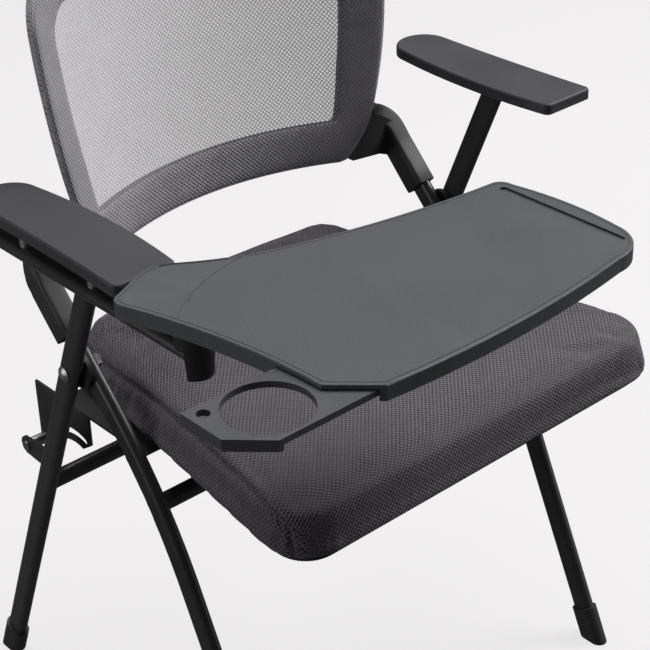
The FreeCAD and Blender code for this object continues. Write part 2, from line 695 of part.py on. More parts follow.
def arm_tube():
    solids = []
    for grow in (0.0, TUBE_WALL):
        wire = oval_wire(V(ARM_X, ARM_FRONT_Y, ARM_Z), V(1, 0, 0), V(0, 0, 1),
                         TUBE_W - 2 * grow, TUBE_T - 2 * grow)
        solids.append(Part.Face(wire).extrude(V(0, ARM_REAR_Y - ARM_FRONT_Y, 0)))
    arm = solids[0].cut(solids[1])
    round_end = cyl_z(TUBE_W / 2, ARM_Z - TUBE_T, ARM_Z + TUBE_T, ARM_X, HUB_Y)
    behind = box(ARM_X - TUBE_W, ARM_X + TUBE_W, HUB_Y, ARM_REAR_Y + 1,
                 ARM_Z - TUBE_T, ARM_Z + TUBE_T)
    arm = arm.common(round_end.fuse(behind))
    for y in ARM_BOLT_YS:
        arm = arm.cut(cyl_z(PAD_BOLT_D / 2, ARM_Z - 20, ARM_Z + 20, ARM_X, y))
    return arm.cut(cyl_z(PIN_D / 2, ARM_Z - 20, ARM_Z + 20, ARM_X, HUB_Y))


ARM_TOP = ARM_Z + TUBE_T / 2
ARM_BOTTOM = ARM_Z - TUBE_T / 2
export(arm_tube(), "tablet_arm")


def arm_spacer(y):
    return cyl_z(7.0, ARM_TOP, PLATE_Z, ARM_X, y).cut(
        cyl_z(PAD_BOLT_D / 2, ARM_TOP, PLATE_Z, ARM_X, y))


def arm_bolt(y):
    shaft = cyl_z(PAD_BOLT_D / 2, ARM_BOTTOM, PLATE_Z + PLATE_T, ARM_X, y)
    head = cyl_z(5.5, ARM_BOTTOM - 3.5, ARM_BOTTOM, ARM_X, y)
    rim = [e for e in head.Edges if abs(e.BoundBox.ZMax - (ARM_BOTTOM - 3.5)) < 0.01]
    return shaft.fuse(head.makeFillet(1.4, rim))


export(Part.makeCompound([arm_spacer(y) for y in ARM_BOLT_YS]), "tablet_arm_spacers")
export(Part.makeCompound([arm_bolt(y) for y in ARM_BOLT_YS]), "tablet_arm_bolts")

plug_face = Part.Face(oval_wire(V(ARM_X, ARM_REAR_Y, ARM_Z), V(1, 0, 0), V(0, 0, 1),
                                TUBE_W, TUBE_T))
plug_tail = Part.Face(oval_wire(V(ARM_X, ARM_REAR_Y, ARM_Z), V(1, 0, 0), V(0, 0, 1),
                                TUBE_W - 2 * TUBE_WALL, TUBE_T - 2 * TUBE_WALL))
plug = plug_face.extrude(V(0, 3, 0)).fuse(plug_tail.extrude(V(0, -12, 0)))
export(plug.removeSplitter(), "tablet_arm_plug")

# swivel pin: fixed in the arm tube, the hub turns on its upper part
TAB_BOTTOM_Z = TAB_TOP_Z - TAB_T
SKIN_Z = TAB_TOP_Z - TAB_SKIN
HUB_WEB_Z0 = ARM_TOP + SIDE_GAP
HUB_WEB_Z1 = HUB_WEB_Z0 + 16.0
pin = cyl_z(PIN_D / 2, ARM_BOTTOM, HUB_WEB_Z1 + SIDE_GAP, ARM_X, HUB_Y)
pin_head = cyl_z(8.0, HUB_WEB_Z1 + SIDE_GAP, HUB_WEB_Z1 + SIDE_GAP + 3.0, ARM_X, HUB_Y)
pin_foot = cyl_z(8.5, ARM_BOTTOM - 4.0, ARM_BOTTOM, ARM_X, HUB_Y)
export(fuse([pin, pin_head, pin_foot]), "tablet_swivel_pin")


# ---------------------------------------------------------------- tablet board
# Outline of the board as arcs and lines, clockwise from the hub's inner rear corner.
# Each entry is the mid point and the end point of an arc, or None and an end point.
BOARD_START = (-262, -151)
BOARD_OUTLINE = [
    ((-220, -177), (-168, -197)),      # rear edge, hollow towards the sitter
    ((-64, -222), (52, -236)),
    ((62, -240), (66, -251)),          # rounded far corner
    ((74, -315), (70, -378)),          # far end, slightly crowned
    ((58, -406), (24, -420)),
    ((-120, -434), (-267, -429)),      # front edge, slightly crowned
    (None, (-304, -393)),              # chamfered near corner
    ((-315, -284), (-342, -181)),      # outer edge
    ((-341, -169), (-331, -162)),
    (None, (-305, -149)),              # short edge in front of the arm pad
    ((-283, -143.5), (-262, -151)),
]
SEAM = ((-321, -231), (-270, -199), (-206, -184))
SEAM_WIDTH = (1.5, -3.2)


def board_wire(z):
    edges, here = [], V(*BOARD_START, z)
    for mid, end in BOARD_OUTLINE:
        end = V(*end, z)
        edge = Part.Arc(here, V(*mid, z), end) if mid else Part.LineSegment(here, end)
        edges.append(edge.toShape())
        here = end
    return Part.Wire(edges)


# ---------------------------------------------------------------- tablet hub
def tablet_hub():
    """Tapered hollow hub with an arched window for the arm tube."""
    flange_r = 34.0
    flange_z0 = SKIN_Z - 4.0
    shell = Part.makeCone(HUB_BOTTOM_D / 2, HUB_TOP_D / 2, flange_z0 - HUB_BOTTOM_Z,
                          V(ARM_X, HUB_Y, HUB_BOTTOM_Z), V(0, 0, 1))
    cavity = Part.makeCone(HUB_BOTTOM_D / 2 - HUB_WALL, HUB_TOP_D / 2 - HUB_WALL,
                           flange_z0 - HUB_BOTTOM_Z, V(ARM_X, HUB_Y, HUB_BOTTOM_Z), V(0, 0, 1))
    web = cavity.common(box(ARM_X - 40, ARM_X + 40, HUB_Y - 40, HUB_Y + 40,
                            HUB_WEB_Z0, HUB_WEB_Z1))
    room = Part.Face(board_wire(flange_z0)).makeOffset2D(-TAB_RIM - 1.0)
    flange = cyl_z(flange_r, flange_z0, SKIN_Z, ARM_X, HUB_Y)
    flange = flange.common(Part.Face(room.OuterWire).extrude(V(0, 0, TAB_SKIN)))
    well = cyl_z(11.0, HUB_WEB_Z1, SKIN_Z, ARM_X, HUB_Y)
    hub = fuse([shell.cut(cavity), web, flange.cut(well)])
    hub = hub.cut(cyl_z(PIN_D / 2 + RUN_GAP, HUB_WEB_Z0 - 1, HUB_WEB_Z1 + 1, ARM_X, HUB_Y))
    # window: the tube enters at the rear at rest and leaves room for the swivel
    half = TUBE_W / 2 + SIDE_GAP
    reach = 60.0
    z0, z1 = HUB_BOTTOM_Z - 5, ARM_TOP + SIDE_GAP
    first = box(ARM_X - half, ARM_X + half, HUB_Y, HUB_Y + reach, z0, z1)
    last = first.copy()
    last.rotate(V(ARM_X, HUB_Y, 0), V(0, 0, 1), SWIVEL_ANGLE)
    between = Part.makeCylinder(reach, z1 - z0, V(ARM_X, HUB_Y, z0), V(0, 0, 1),
                                SWIVEL_ANGLE)
    between.rotate(V(ARM_X, HUB_Y, 0), V(0, 0, 1), 90)
    return hub.cut(fuse([first, last, between]))


HUB_SCREWS = [(ARM_X + 27 * math.cos(deg(a)), HUB_Y + 27 * math.sin(deg(a)))
              for a in (40, 130, 238, 315)]
hub = tablet_hub()
for x, y in HUB_SCREWS:
    hub = hub.cut(cyl_z(2.0, SKIN_Z - 10, SKIN_Z + 1, x, y))
export(hub, "tablet_hub")


TRAY_TOP_Z = SKIN_Z - TRAY_TOP_GAP
SLOT_REAR_Y = TRAY_REAR_Y + 0.5
BEAD_INSET = 4.0
BEAD_WIDTH = 0.7
BEAD_DEPTH = 0.4
EDGE_R = 1.2
REAR_LINE_X = (-276.0, -223.0)  # deeper step line beside the hollow of the rear edge


def tablet_board():
    wire = board_wire(TAB_BOTTOM_Z)
    face = Part.Face(wire)
    body = face.extrude(V(0, 0, TAB_T))
    rim = [e for e in body.Edges if e.BoundBox.ZMin > TAB_TOP_Z - 0.1]
    body = body.makeFillet(EDGE_R, rim)
    inner = Part.Face(face.makeOffset2D(-TAB_RIM).OuterWire)
    cavity = inner.extrude(V(0, 0, TAB_T - TAB_SKIN))
    ribs = []
    for x in (-130, -50, 30):
        ribs.append(box(x - TAB_RIB / 2, x + TAB_RIB / 2, -440, -150,
                        TAB_BOTTOM_Z + 2, SKIN_Z))
    ribs.append(box(-330, 80, -300 - TAB_RIB / 2, -300 + TAB_RIB / 2, TAB_BOTTOM_Z + 2,
                    SKIN_Z))
    keep_out = box(-420, TRAY_RIGHT_X + TRAY_TRAVEL + 8, TRAY_FRONT_Y - 12, TRAY_REAR_Y + 14,
                   TAB_BOTTOM_Z - 5, SKIN_Z)
    hub_room = cyl_z(38.0, TAB_BOTTOM_Z - 5, SKIN_Z, ARM_X, HUB_Y)
    rib_set = fuse(ribs).common(cavity).cut(keep_out).cut(hub_room)
    board = body.cut(cavity).fuse(rib_set).removeSplitter()
    # mouth for the cup tray through the left rim and the chamfer
    mouth = box(-420, -250, TRAY_FRONT_Y - 1.2, SLOT_REAR_Y, TAB_BOTTOM_Z - 5, SKIN_Z)
    board = board.cut(mouth)
    # pen groove along the far end, sunk bead line inside the rim, seam of the base
    top = TAB_TOP_Z
    pen = Part.Face(oval_wire(V(52, -325, top), V(0, 1, 0), V(1, 0, 0), 150, 9))
    board = board.cut(pen.extrude(V(0, 0, -GROOVE_DEPTH)))
    def ring(inset, width, depth):
        wide = Part.Face(face.makeOffset2D(-inset).OuterWire).extrude(V(0, 0, 20))
        thin = Part.Face(face.makeOffset2D(-inset - width).OuterWire).extrude(V(0, 0, 20))
        line = wide.cut(thin)
        line.translate(V(0, 0, TAB_T - depth))
        return line
    board = board.cut(ring(BEAD_INSET, BEAD_WIDTH, BEAD_DEPTH))
    rear_line = ring(1.6, 1.6, 2.0).common(
        box(REAR_LINE_X[0], REAR_LINE_X[1], -250, -100, TAB_BOTTOM_Z, top + 20))
    board = board.cut(rear_line)
    shift = V(SEAM_WIDTH[0], SEAM_WIDTH[1], 0)
    p0, pm, p1 = [V(x, y, top) for x, y in SEAM]
    strip = Part.Face(Part.Wire([
        Part.Arc(p0, pm, p1).toShape(), Part.LineSegment(p1, p1 + shift).toShape(),
        Part.Arc(p1 + shift, pm + shift, p0 + shift).toShape(),
        Part.LineSegment(p0 + shift, p0).toShape()]))
    board = board.cut(strip.extrude(V(0, 0, -BEAD_DEPTH)))
    for x, y in HUB_SCREWS:
        board = board.cut(cyl_z(2.0, SKIN_Z - 1, SKIN_Z + 2.4, x, y))
    return board


board = tablet_board()


def flat_screw(x, y, z_face, grip, depth):
    """Pan-head screw driven upward against a face at z_face."""
    shaft = cyl_z(2.0, z_face, z_face + grip + depth, x, y)
    head = cyl_z(3.8, z_face - 2.2, z_face, x, y)
    return shaft.fuse(head)


export(Part.makeCompound([flat_screw(x, y, SKIN_Z - 4.0, 4.0, 2.2) for x, y in HUB_SCREWS]),
       "tablet_hub_screws")

# the tray runs between a ledge moulded on the board and a screwed rail
RAIL_T = 1.6
RAIL_X0, RAIL_X1 = -262.0, TRAY_RIGHT_X + TRAY_TRAVEL + 4
RAIL_LIP = 5.0
RAIL_LIP_Z1 = TRAY_TOP_Z - TRAY_T - 0.4
RAIL_GAP = 0.5
RAIL_FOOT = 11.0
RAIL_SCREW_XS = (RAIL_X0 + 18, RAIL_X1 - 18)


def guide(edge_y, s):
    """Web beside the tray's edge and a lip under it; s points away from the tray."""
    y = edge_y + s * RAIL_GAP
    web = box(RAIL_X0, RAIL_X1, y, y + s * RAIL_T, RAIL_LIP_Z1 - RAIL_T, SKIN_Z)
    lip = box(RAIL_X0, RAIL_X1, y - s * RAIL_LIP, y + s * RAIL_T,
              RAIL_LIP_Z1 - RAIL_T, RAIL_LIP_Z1)
    return web.fuse(lip)


rail_web_y = TRAY_REAR_Y + RAIL_GAP
rail_screw_y = rail_web_y + 6.5
rail = guide(TRAY_REAR_Y, 1).fuse(box(RAIL_X0, RAIL_X1, rail_web_y, rail_web_y + RAIL_FOOT,
                                      SKIN_Z - RAIL_T, SKIN_Z)).removeSplitter()
board = board.fuse(guide(TRAY_FRONT_Y, -1)).removeSplitter()
for x in RAIL_SCREW_XS:
    rail = rail.cut(cyl_z(2.0, SKIN_Z - 5, SKIN_Z + 1, x, rail_screw_y))
    board = board.cut(cyl_z(2.0, SKIN_Z - 1, SKIN_Z + 2.4, x, rail_screw_y))
export(board, "tablet_board")
export(rail, "tray_rail")
export(Part.makeCompound([flat_screw(x, rail_screw_y, SKIN_Z - RAIL_T, RAIL_T, 2.2)
                          for x in RAIL_SCREW_XS]), "tray_rail_screws")


# ---------------------------------------------------------------- cup tray
def cup_tray():
    z1, z0 = TRAY_TOP_Z, TRAY_TOP_Z - TRAY_T
    zs = TRAY_TOP_Z - TRAY_SKIRT
    pts = [(TRAY_LEFT_X, TRAY_REAR_Y), (TRAY_RIGHT_X, TRAY_REAR_Y),
           (TRAY_RIGHT_X, TRAY_FRONT_Y), (TRAY_LEFT_X + TRAY_CHAMFER, TRAY_FRONT_Y),
           (TRAY_LEFT_X, TRAY_FRONT_Y + TRAY_CHAMFER)]
    poly = [V(x, y, z0) for x, y in pts]
    outline = Part.Face(Part.makePolygon(poly + [poly[0]]))
    plate = outline.extrude(V(0, 0, TRAY_T))
    low = [V(x, y, zs) for x, y in pts]
    skirt_body = Part.Face(Part.makePolygon(low + [low[0]])).extrude(V(0, 0, z0 - zs))
    shift = 3.0
    inner = [V(x + shift, y + shift * 0.4, zs) for x, y in pts]
    inner[0] = V(TRAY_LEFT_X + shift, TRAY_REAR_Y + 20, zs)
    inner[1] = V(TRAY_RIGHT_X + 40, TRAY_REAR_Y + 20, zs)
    inner[2] = V(TRAY_RIGHT_X + 40, TRAY_FRONT_Y - 20, zs)
    run = shift * math.tan(deg(22.5))
    inner[4] = V(TRAY_LEFT_X + shift, TRAY_FRONT_Y + TRAY_CHAMFER + run, zs)
    inner[3] = V(TRAY_LEFT_X + shift + TRAY_CHAMFER + run + 20, TRAY_FRONT_Y - 20, zs)
    hollow = Part.Face(Part.makePolygon(inner + [inner[0]])).extrude(V(0, 0, z0 - zs))
    tray = plate.fuse(skirt_body.cut(hollow)).removeSplitter()
    cup_y = (TRAY_REAR_Y + TRAY_FRONT_Y) / 2
    tray = tray.cut(cyl_z(CUP_HOLE_D / 2, zs - 1, z1 + 1, CUP_X, cup_y))
    tray = tray.cut(cyl_z(FINGER_HOLE_D / 2, zs - 1, z1 + 1, TRAY_LEFT_X + 12.5,
                          TRAY_REAR_Y - 12.5))
    return tray


export(cup_tray(), "cup_tray")


# ---------------------------------------------------------------- backrest
RECLINE = math.tan(deg(BACK_RECLINE))


def back_shell(offset, thickness):
    """Curved wall that sweeps round the sitter; offset is from the front face."""
    tall = 700.0
    z_base = BACK_BOTTOM_Z - 150
    axis = V(0, math.sin(deg(BACK_RECLINE)), math.cos(deg(BACK_RECLINE)))
    base = V(0, BACK_Y - BACK_R / math.cos(deg(BACK_RECLINE)) + (z_base - BACK_BOTTOM_Z) * RECLINE,
             z_base)
    r0 = BACK_R + offset
    big = Part.makeCylinder(r0 + thickness, tall, base, axis)
    small = Part.makeCylinder(r0, tall, base, axis)
    front_half = box(-400, 400, BACK_Y - 130, BACK_Y + 300, BACK_BOTTOM_Z - 60, BACK_TOP_Z + 60)
    return big.cut(small).common(front_half)


def outline_face(half, bottom, corner):
    """Mirrored outline in the XZ plane: flat foot, two arcs up each side, round top."""
    y = BACK_Y - 200
    q = corner * (1 - math.sqrt(0.5))
    (x0, z0), (x1, z1), (x2, z2), (x3, z3), (x4, z4) = half
    top = bottom[1]
    wires = []
    for s in (1, -1):
        def p(x, z):
            return V(s * x, y, z)
        wires.append(Part.Arc(p(x0, z0), p(x1, z1), p(x2, z2)).toShape())
        wires.append(Part.Arc(p(x2, z2), p(x3, z3), p(x4, z4)).toShape())
        wires.append(Part.LineSegment(p(x4, z4), p(x4, top - corner)).toShape())
        wires.append(Part.Arc(p(x4, top - corner), p(x4 - q, top - q),
                              p(x4 - corner, top)).toShape())
    wires.append(Part.LineSegment(V(-x0, y, z0), V(x0, y, z0)).toShape())
    wires.append(Part.LineSegment(V(-x4 + corner, y, top), V(x4 - corner, y, top)).toShape())
    return Part.Face(Part.Wire(Part.__sortEdges__(wires)))


def between(a, b, along_x, along_z):
    return (a[0] + (b[0] - a[0]) * along_x, a[1] + (b[1] - a[1]) * along_z)


BACK_SIDE = [(BACK_FOOT_X, BACK_BOTTOM_Z), (BACK_HIP_X, BACK_HIP_Z),
             (BACK_WIDE_X, BACK_WIDE_Z)]
MESH_SIDE = [(MESH_FOOT_X, MESH_FOOT_Z), (MESH_HIP_X, MESH_HIP_Z),
             (MESH_WIDE_X, MESH_WIDE_Z)]
BACK_HALF = [BACK_SIDE[0], between(BACK_SIDE[0], BACK_SIDE[1], 0.576, 0.44), BACK_SIDE[1],
             between(BACK_SIDE[1], BACK_SIDE[2], 0.667, 0.464), BACK_SIDE[2]]
MESH_HALF = [MESH_SIDE[0], between(MESH_SIDE[0], MESH_SIDE[1], 0.55, 0.483), MESH_SIDE[1],
             between(MESH_SIDE[1], MESH_SIDE[2], 0.667, 0.491), MESH_SIDE[2]]


def back_face(inset):
    """Outline of the back in the XZ plane: narrow foot, wider shoulders."""
    face = outline_face(BACK_HALF, (BACK_BOTTOM_Z, BACK_TOP_Z), BACK_TOP_R)
    smooth = face.makeOffset2D(-7.0)
    smooth = smooth.makeOffset2D(7.0 - inset)
    return Part.Face(smooth.OuterWire)


def mesh_prism_grown(grow):
    face = outline_face(MESH_HALF, (MESH_FOOT_Z, MESH_TOP_Z), MESH_TOP_R)
    face = face.makeOffset2D(-5.0).makeOffset2D(5.0 + grow)
    return Part.Face(face.OuterWire).extrude(V(0, 600, 0))


def back_prism(inset):
    f = back_face(inset)
    return f.extrude(V(0, 600, 0))


full = back_prism(0.0)
frame_outer = back_prism(2.5)
frame_inner = mesh_prism_grown(BACK_FRAME_EDGE)
frame_shell = back_shell(FABRIC_T + FABRIC_GAP, BACK_FRAME_T)
back_frame = frame_shell.common(frame_outer.cut(frame_inner))
fabric_shell = back_shell(0.0, FABRIC_T)
mesh_prism = mesh_prism_grown(0.0)
band_prism = mesh_prism_grown(FABRIC_GAP)
back_band = fabric_shell.common(full.cut(band_prism))
back_mesh = fabric_shell.common(mesh_prism)
export(back_frame, "back_frame")
export(back_band, "back_band")
export(back_mesh, "back_mesh")


# ---------------------------------------------------------------- back sockets
def section(centre, normal, across, w, h):
    """Rounded rectangle: w along the across direction, h square to it."""
    n = V(normal).normalize()
    a = V(across)
    a = (a - n * a.dot(n)).normalize()
    b = n.cross(a)
    r = 5.0
    pts = []
    for sa, sb in ((1, 1), (-1, 1), (-1, -1), (1, -1)):
        cx = centre + a * (sa * (w / 2 - r)) + b * (sb * (h / 2 - r))
        pts.append((cx, sa, sb))
    edges, ring = [], []
    q = math.sqrt(0.5)
    for cx, sa, sb in pts:
        start = cx + (a * sa if sa * sb > 0 else b * sb) * r
        end = cx + (b * sb if sa * sb > 0 else a * sa) * r
        mid = cx + a * (sa * r * q) + b * (sb * r * q)
        ring.append((start, mid, end))
    for k, (start, mid, end) in enumerate(ring):
        first = ring[k - 1][2]
        if k:
            edges.append(Part.LineSegment(first, start).toShape())
        edges.append(Part.Arc(start, mid, end).toShape())
    edges.append(Part.LineSegment(ring[-1][2], ring[0][0]).toShape())
    return Part.Wire(edges)


def back_socket(side):
    """Plastic arm: a socket over the inner tube that turns in behind the back."""
    s = side
    across = V(1, 0, 0)
    up = V(0, -HIGH_DIR.z, HIGH_DIR.y)
    end = FRONT_TOP - HIGH_DIR * SOCKET_LEN - up * SOCKET_DROP
    end = V(s * INNER_X, end.y, end.z)
    top = end + HIGH_DIR * (SOCKET_LEN + 4.0)
    hook = [
        section(top, HIGH_DIR, across, SOCKET_X, SOCKET_W),
        section(V(s * 245, 109, 561), V(-s * 0.32, 0.63, 0.71), across, 25, 26),
        section(V(s * 233, 117, 573), V(-s * 0.78, 0.36, 0.50), across, 27, 24),
        section(V(s * 204, 112, 588), V(-s * 0.93, -0.25, 0.30), across, 30, 20),
    ]
    arm = Part.makeLoft([section(end, HIGH_DIR, across, SOCKET_X, SOCKET_W), hook[0]],
                        True, True)
    body = arm.fuse(Part.makeLoft(hook, True, False))
    pts = [V(s * x, WEB_Y, z) for x, z in WEB_OUTLINE]
    web = Part.Face(Part.makePolygon(pts + [pts[0]])).extrude(V(0, WEB_T, 0))
    body = body.fuse(web)
    tube_body = LEG_LEFT_BODY if side > 0 else LEG_RIGHT_BODY
    body = body.cut(tube_body)
    return body


sockets = {}
for side, name in ((1, "left"), (-1, "right")):
    body = back_socket(side)
    body = body.cut(back_frame)
    clear = back_shell(-60.0, 60.0 + FABRIC_T + FABRIC_GAP + 0.01)
    body = body.cut(clear.common(back_prism(-30)))
    solids = sorted(body.Solids, key=lambda s: -s.Volume)
    sockets[name] = solids[0]
    export(solids[0], "back_socket_" + name)

# ---------------------------------------------------------------- common origin
# on the floor, under the middle of the whole chair's outer box
lo, hi = [1e9, 1e9], [-1e9, -1e9]
for shape, node in PIECES:
    b = shape.optimalBoundingBox(False, False)
    lo = [min(lo[0], b.XMin), min(lo[1], b.YMin)]
    hi = [max(hi[0], b.XMax), max(hi[1], b.YMax)]
to_origin = V(-(lo[0] + hi[0]) / 2, -(lo[1] + hi[1]) / 2, 0)
for shape, node in PIECES:
    moved = shape.copy()
    moved.translate(to_origin)
    moved.exportStep("parts/%s.step" % node)
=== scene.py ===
import json
import math
import bpy
import numpy as np
from mathutils import Matrix, Vector
from mathutils.bvhtree import BVHTree
from mathutils.kdtree import KDTree


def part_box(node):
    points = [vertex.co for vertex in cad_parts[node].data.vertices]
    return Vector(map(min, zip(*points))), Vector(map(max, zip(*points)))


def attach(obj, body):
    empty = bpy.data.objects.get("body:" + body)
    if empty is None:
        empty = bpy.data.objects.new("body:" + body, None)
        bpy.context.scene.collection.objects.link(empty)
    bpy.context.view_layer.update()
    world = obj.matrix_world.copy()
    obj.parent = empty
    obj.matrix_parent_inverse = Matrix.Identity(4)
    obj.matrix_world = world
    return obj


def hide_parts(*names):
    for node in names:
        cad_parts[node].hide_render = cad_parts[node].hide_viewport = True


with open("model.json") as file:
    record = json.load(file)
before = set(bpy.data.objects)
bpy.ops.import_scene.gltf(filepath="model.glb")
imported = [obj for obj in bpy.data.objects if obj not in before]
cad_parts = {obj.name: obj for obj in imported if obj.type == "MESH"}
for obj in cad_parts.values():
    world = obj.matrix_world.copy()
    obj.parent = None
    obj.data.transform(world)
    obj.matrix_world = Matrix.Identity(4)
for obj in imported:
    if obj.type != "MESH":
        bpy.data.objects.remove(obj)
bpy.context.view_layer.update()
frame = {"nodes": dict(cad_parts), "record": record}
NODES = frame["nodes"]

# The chair's own axes: x = 0 on its middle plane, floor at z = 0, the sitter faces -y.
# The bolts where the legs cross give the place of those axes in the frame.
PIVOT = Vector((0.0, 0.032027, 0.478097))
bolt_lo, bolt_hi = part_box("leg_pivot_bolts")
SHIFT = (bolt_lo + bolt_hi) / 2 - PIVOT
SHIFT.z = 0.0

# ------------------------------------------------------------------ camera
FOCAL_PX = 1753.8
PICTURE_PX = 650.0
HEADING, PITCH, ROLL = math.radians(41.006), math.radians(30.225), math.radians(-1.661)
CAMERA_AT = Vector((-1.060387, -1.269764, 1.398545))      # in the chair's own axes


def make_camera():
    ahead = Vector((math.sin(HEADING) * math.cos(PITCH),
                    math.cos(HEADING) * math.cos(PITCH), -math.sin(PITCH)))
    level = Vector((math.cos(HEADING), -math.sin(HEADING), 0.0))
    above = level.cross(ahead)
    right = level * math.cos(ROLL) + above * math.sin(ROLL)
    up = above * math.cos(ROLL) - level * math.sin(ROLL)
    data = bpy.data.cameras.new("camera")
    data.sensor_width = 36.0
    data.lens = FOCAL_PX / PICTURE_PX * data.sensor_width
    data.clip_start, data.clip_end = 0.05, 60.0
    cam = bpy.data.objects.new("camera", data)
    bpy.context.scene.collection.objects.link(cam)
    turn = Matrix((right, up, -ahead)).transposed()
    cam.matrix_world = Matrix.Translation(CAMERA_AT + SHIFT) @ turn.to_4x4()
    bpy.context.scene.camera = cam


make_camera()


# ------------------------------------------------------------------ node helpers
class Graph:
    """A material whose nodes are made with short calls."""

    def __init__(self, name):
        self.mat = bpy.data.materials.new(name)
        self.mat.use_nodes = True
        self.tree = self.mat.node_tree
        self.tree.nodes.clear()
        out = self.tree.nodes.new("ShaderNodeOutputMaterial")
        self.bsdf = self.tree.nodes.new("ShaderNodeBsdfPrincipled")
        self.tree.links.new(self.bsdf.outputs[0], out.inputs[0])

    def add(self, kind, inputs=None, **props):
        n = self.tree.nodes.new(kind)
        for key, value in props.items():
            setattr(n, key, value)
        for key, value in (inputs or {}).items():
            if isinstance(value, bpy.types.NodeSocket):
                self.tree.links.new(value, n.inputs[key])
            else:
                n.inputs[key].default_value = value
        return n

    def put(self, **sockets):
        """Set or link sockets of the shader; underscores stand for spaces."""
        for key, value in sockets.items():
            socket = self.bsdf.inputs[key.replace("_", " ")]
            if isinstance(value, bpy.types.NodeSocket):
                self.tree.links.new(value, socket)
            else:
                socket.default_value = value

    def place(self):
        return self.add("ShaderNodeTexCoord").outputs["Object"]

    def math(self, kind, a, b=0.0, c=0.0):
        return self.add("ShaderNodeMath", {0: a, 1: b, 2: c}, operation=kind).outputs[0]

    def noise(self, where, scale, detail=3.0, rough=0.55):
        return self.add("ShaderNodeTexNoise", {"Vector": where, "Scale": scale,
                        "Detail": detail, "Roughness": rough}).outputs["Fac"]

    def span(self, value, lo, hi, to_lo, to_hi):
        return self.add("ShaderNodeMapRange", {"Value": value, "From Min": lo, "From Max": hi,
                        "To Min": to_lo, "To Max": to_hi}).outputs["Result"]

    def step(self, value, lo, hi):
        return self.add("ShaderNodeMapRange", {"Value": value, "From Min": lo, "From Max": hi},
                        interpolation_type="SMOOTHSTEP").outputs["Result"]

    def mix(self, share, a, b):
        n = self.add("ShaderNodeMix", data_type="RGBA")
        for key, value in ((0, share), (6, a), (7, b)):
            if isinstance(value, bpy.types.NodeSocket):
                self.tree.links.new(value, n.inputs[key])
            else:
                n.inputs[key].default_value = value if key == 0 else (*value, 1.0)
        return n.outputs[2]

    def bump(self, height, distance, under=None):
        inputs = {"Height": height, "Distance": distance, "Strength": 1.0}
        if under is not None:
            inputs["Normal"] = under
        return self.add("ShaderNodeBump", inputs).outputs["Normal"]


def grained(name, dark, light, rough, grain, depth, speck=0.0):
    """Moulded plastic or powder coat: fine grain, faint cloudiness, and a painted highlight
    along pointed edges and rims (lighter colour, lower roughness).
    """
    g = Graph(name)
    where = g.place()
    fine = g.noise(where, grain, 4.0, 0.6)
    cloud = g.noise(where, 9.0, 3.0, 0.5)
    tone = g.mix(g.step(cloud, 0.3, 0.7), dark, light)
    if speck:
        tone = g.mix(g.span(fine, 0.4, 0.7, 0.0, speck), tone, tuple(2.4 * v for v in light))
    # Painted highlight: pointed edges and rims are made lighter and glossier, standing in for
    # the glint of light along them.
    rim_highlight = g.step(g.add("ShaderNodeNewGeometry").outputs["Pointiness"], 0.53, 0.62)
    tone = g.mix(g.math("MULTIPLY", rim_highlight, 0.35), tone, tuple(3.0 * v for v in light))
    gloss = g.span(cloud, 0.3, 0.7, rough - 0.04, rough + 0.05)
    g.put(Base_Color=tone, Roughness=g.math("SUBTRACT", gloss, g.math("MULTIPLY", rim_highlight, 0.18)),
          Normal=g.bump(fine, depth))
    return g.mat


POWDER = grained("powder_coat", (0.019, 0.019, 0.020), (0.029, 0.029, 0.031), 0.40, 900.0,
                 0.00010)
BLACK = grained("black_plastic", (0.008, 0.008, 0.009), (0.013, 0.013, 0.014), 0.50, 1500.0,
                0.00008)
SOCKETS = grained("socket_plastic", (0.023, 0.023, 0.025), (0.033, 0.033, 0.036), 0.54,
                  1400.0, 0.00008)
PADS = grained("arm_pad_plastic", (0.036, 0.035, 0.040), (0.045, 0.044, 0.049), 0.58, 1300.0,
               0.00010)
TABLET = grained("tablet_plastic", (0.044, 0.0475, 0.0495), (0.051, 0.055, 0.057), 0.50, 900.0,
                 0.00016, speck=0.7)
TRAY = grained("tray_plastic", (0.034, 0.035, 0.038), (0.042, 0.043, 0.047), 0.48, 1300.0,
               0.00008, speck=0.3)
FEET = grained("foot_plastic", (0.014, 0.014, 0.014), (0.022, 0.022, 0.022), 0.62, 700.0,
               0.00012)


def zinc():
    g = Graph("zinc_steel")
    where = g.place()
    cloud = g.noise(where, 160.0, 4.0, 0.6)
    g.put(Base_Color=g.mix(cloud, (0.34, 0.34, 0.35), (0.52, 0.52, 0.53)),
          Roughness=g.span(cloud, 0.3, 0.7, 0.28, 0.45), Metallic=1.0,
          Normal=g.bump(g.noise(where, 1400.0), 0.00003))
    return g.mat


def plywood():
    g = Graph("plywood")
    where = g.place()
    long = g.add("ShaderNodeMapping", {"Vector": where, "Scale": (60.0, 5.0, 300.0)})
    grain = g.noise(long.outputs[0], 3.0, 6.0, 0.65)
    g.put(Base_Color=g.mix(grain, (0.012, 0.011, 0.012), (0.030, 0.027, 0.028)), Roughness=0.7,
          Normal=g.bump(grain, 0.0002))
    return g.mat


# ------------------------------------------------------------------ woven fabrics
CELL_U, CELL_V = 0.0051, 0.0054      # the knit's repeat; holes also sit at its middle


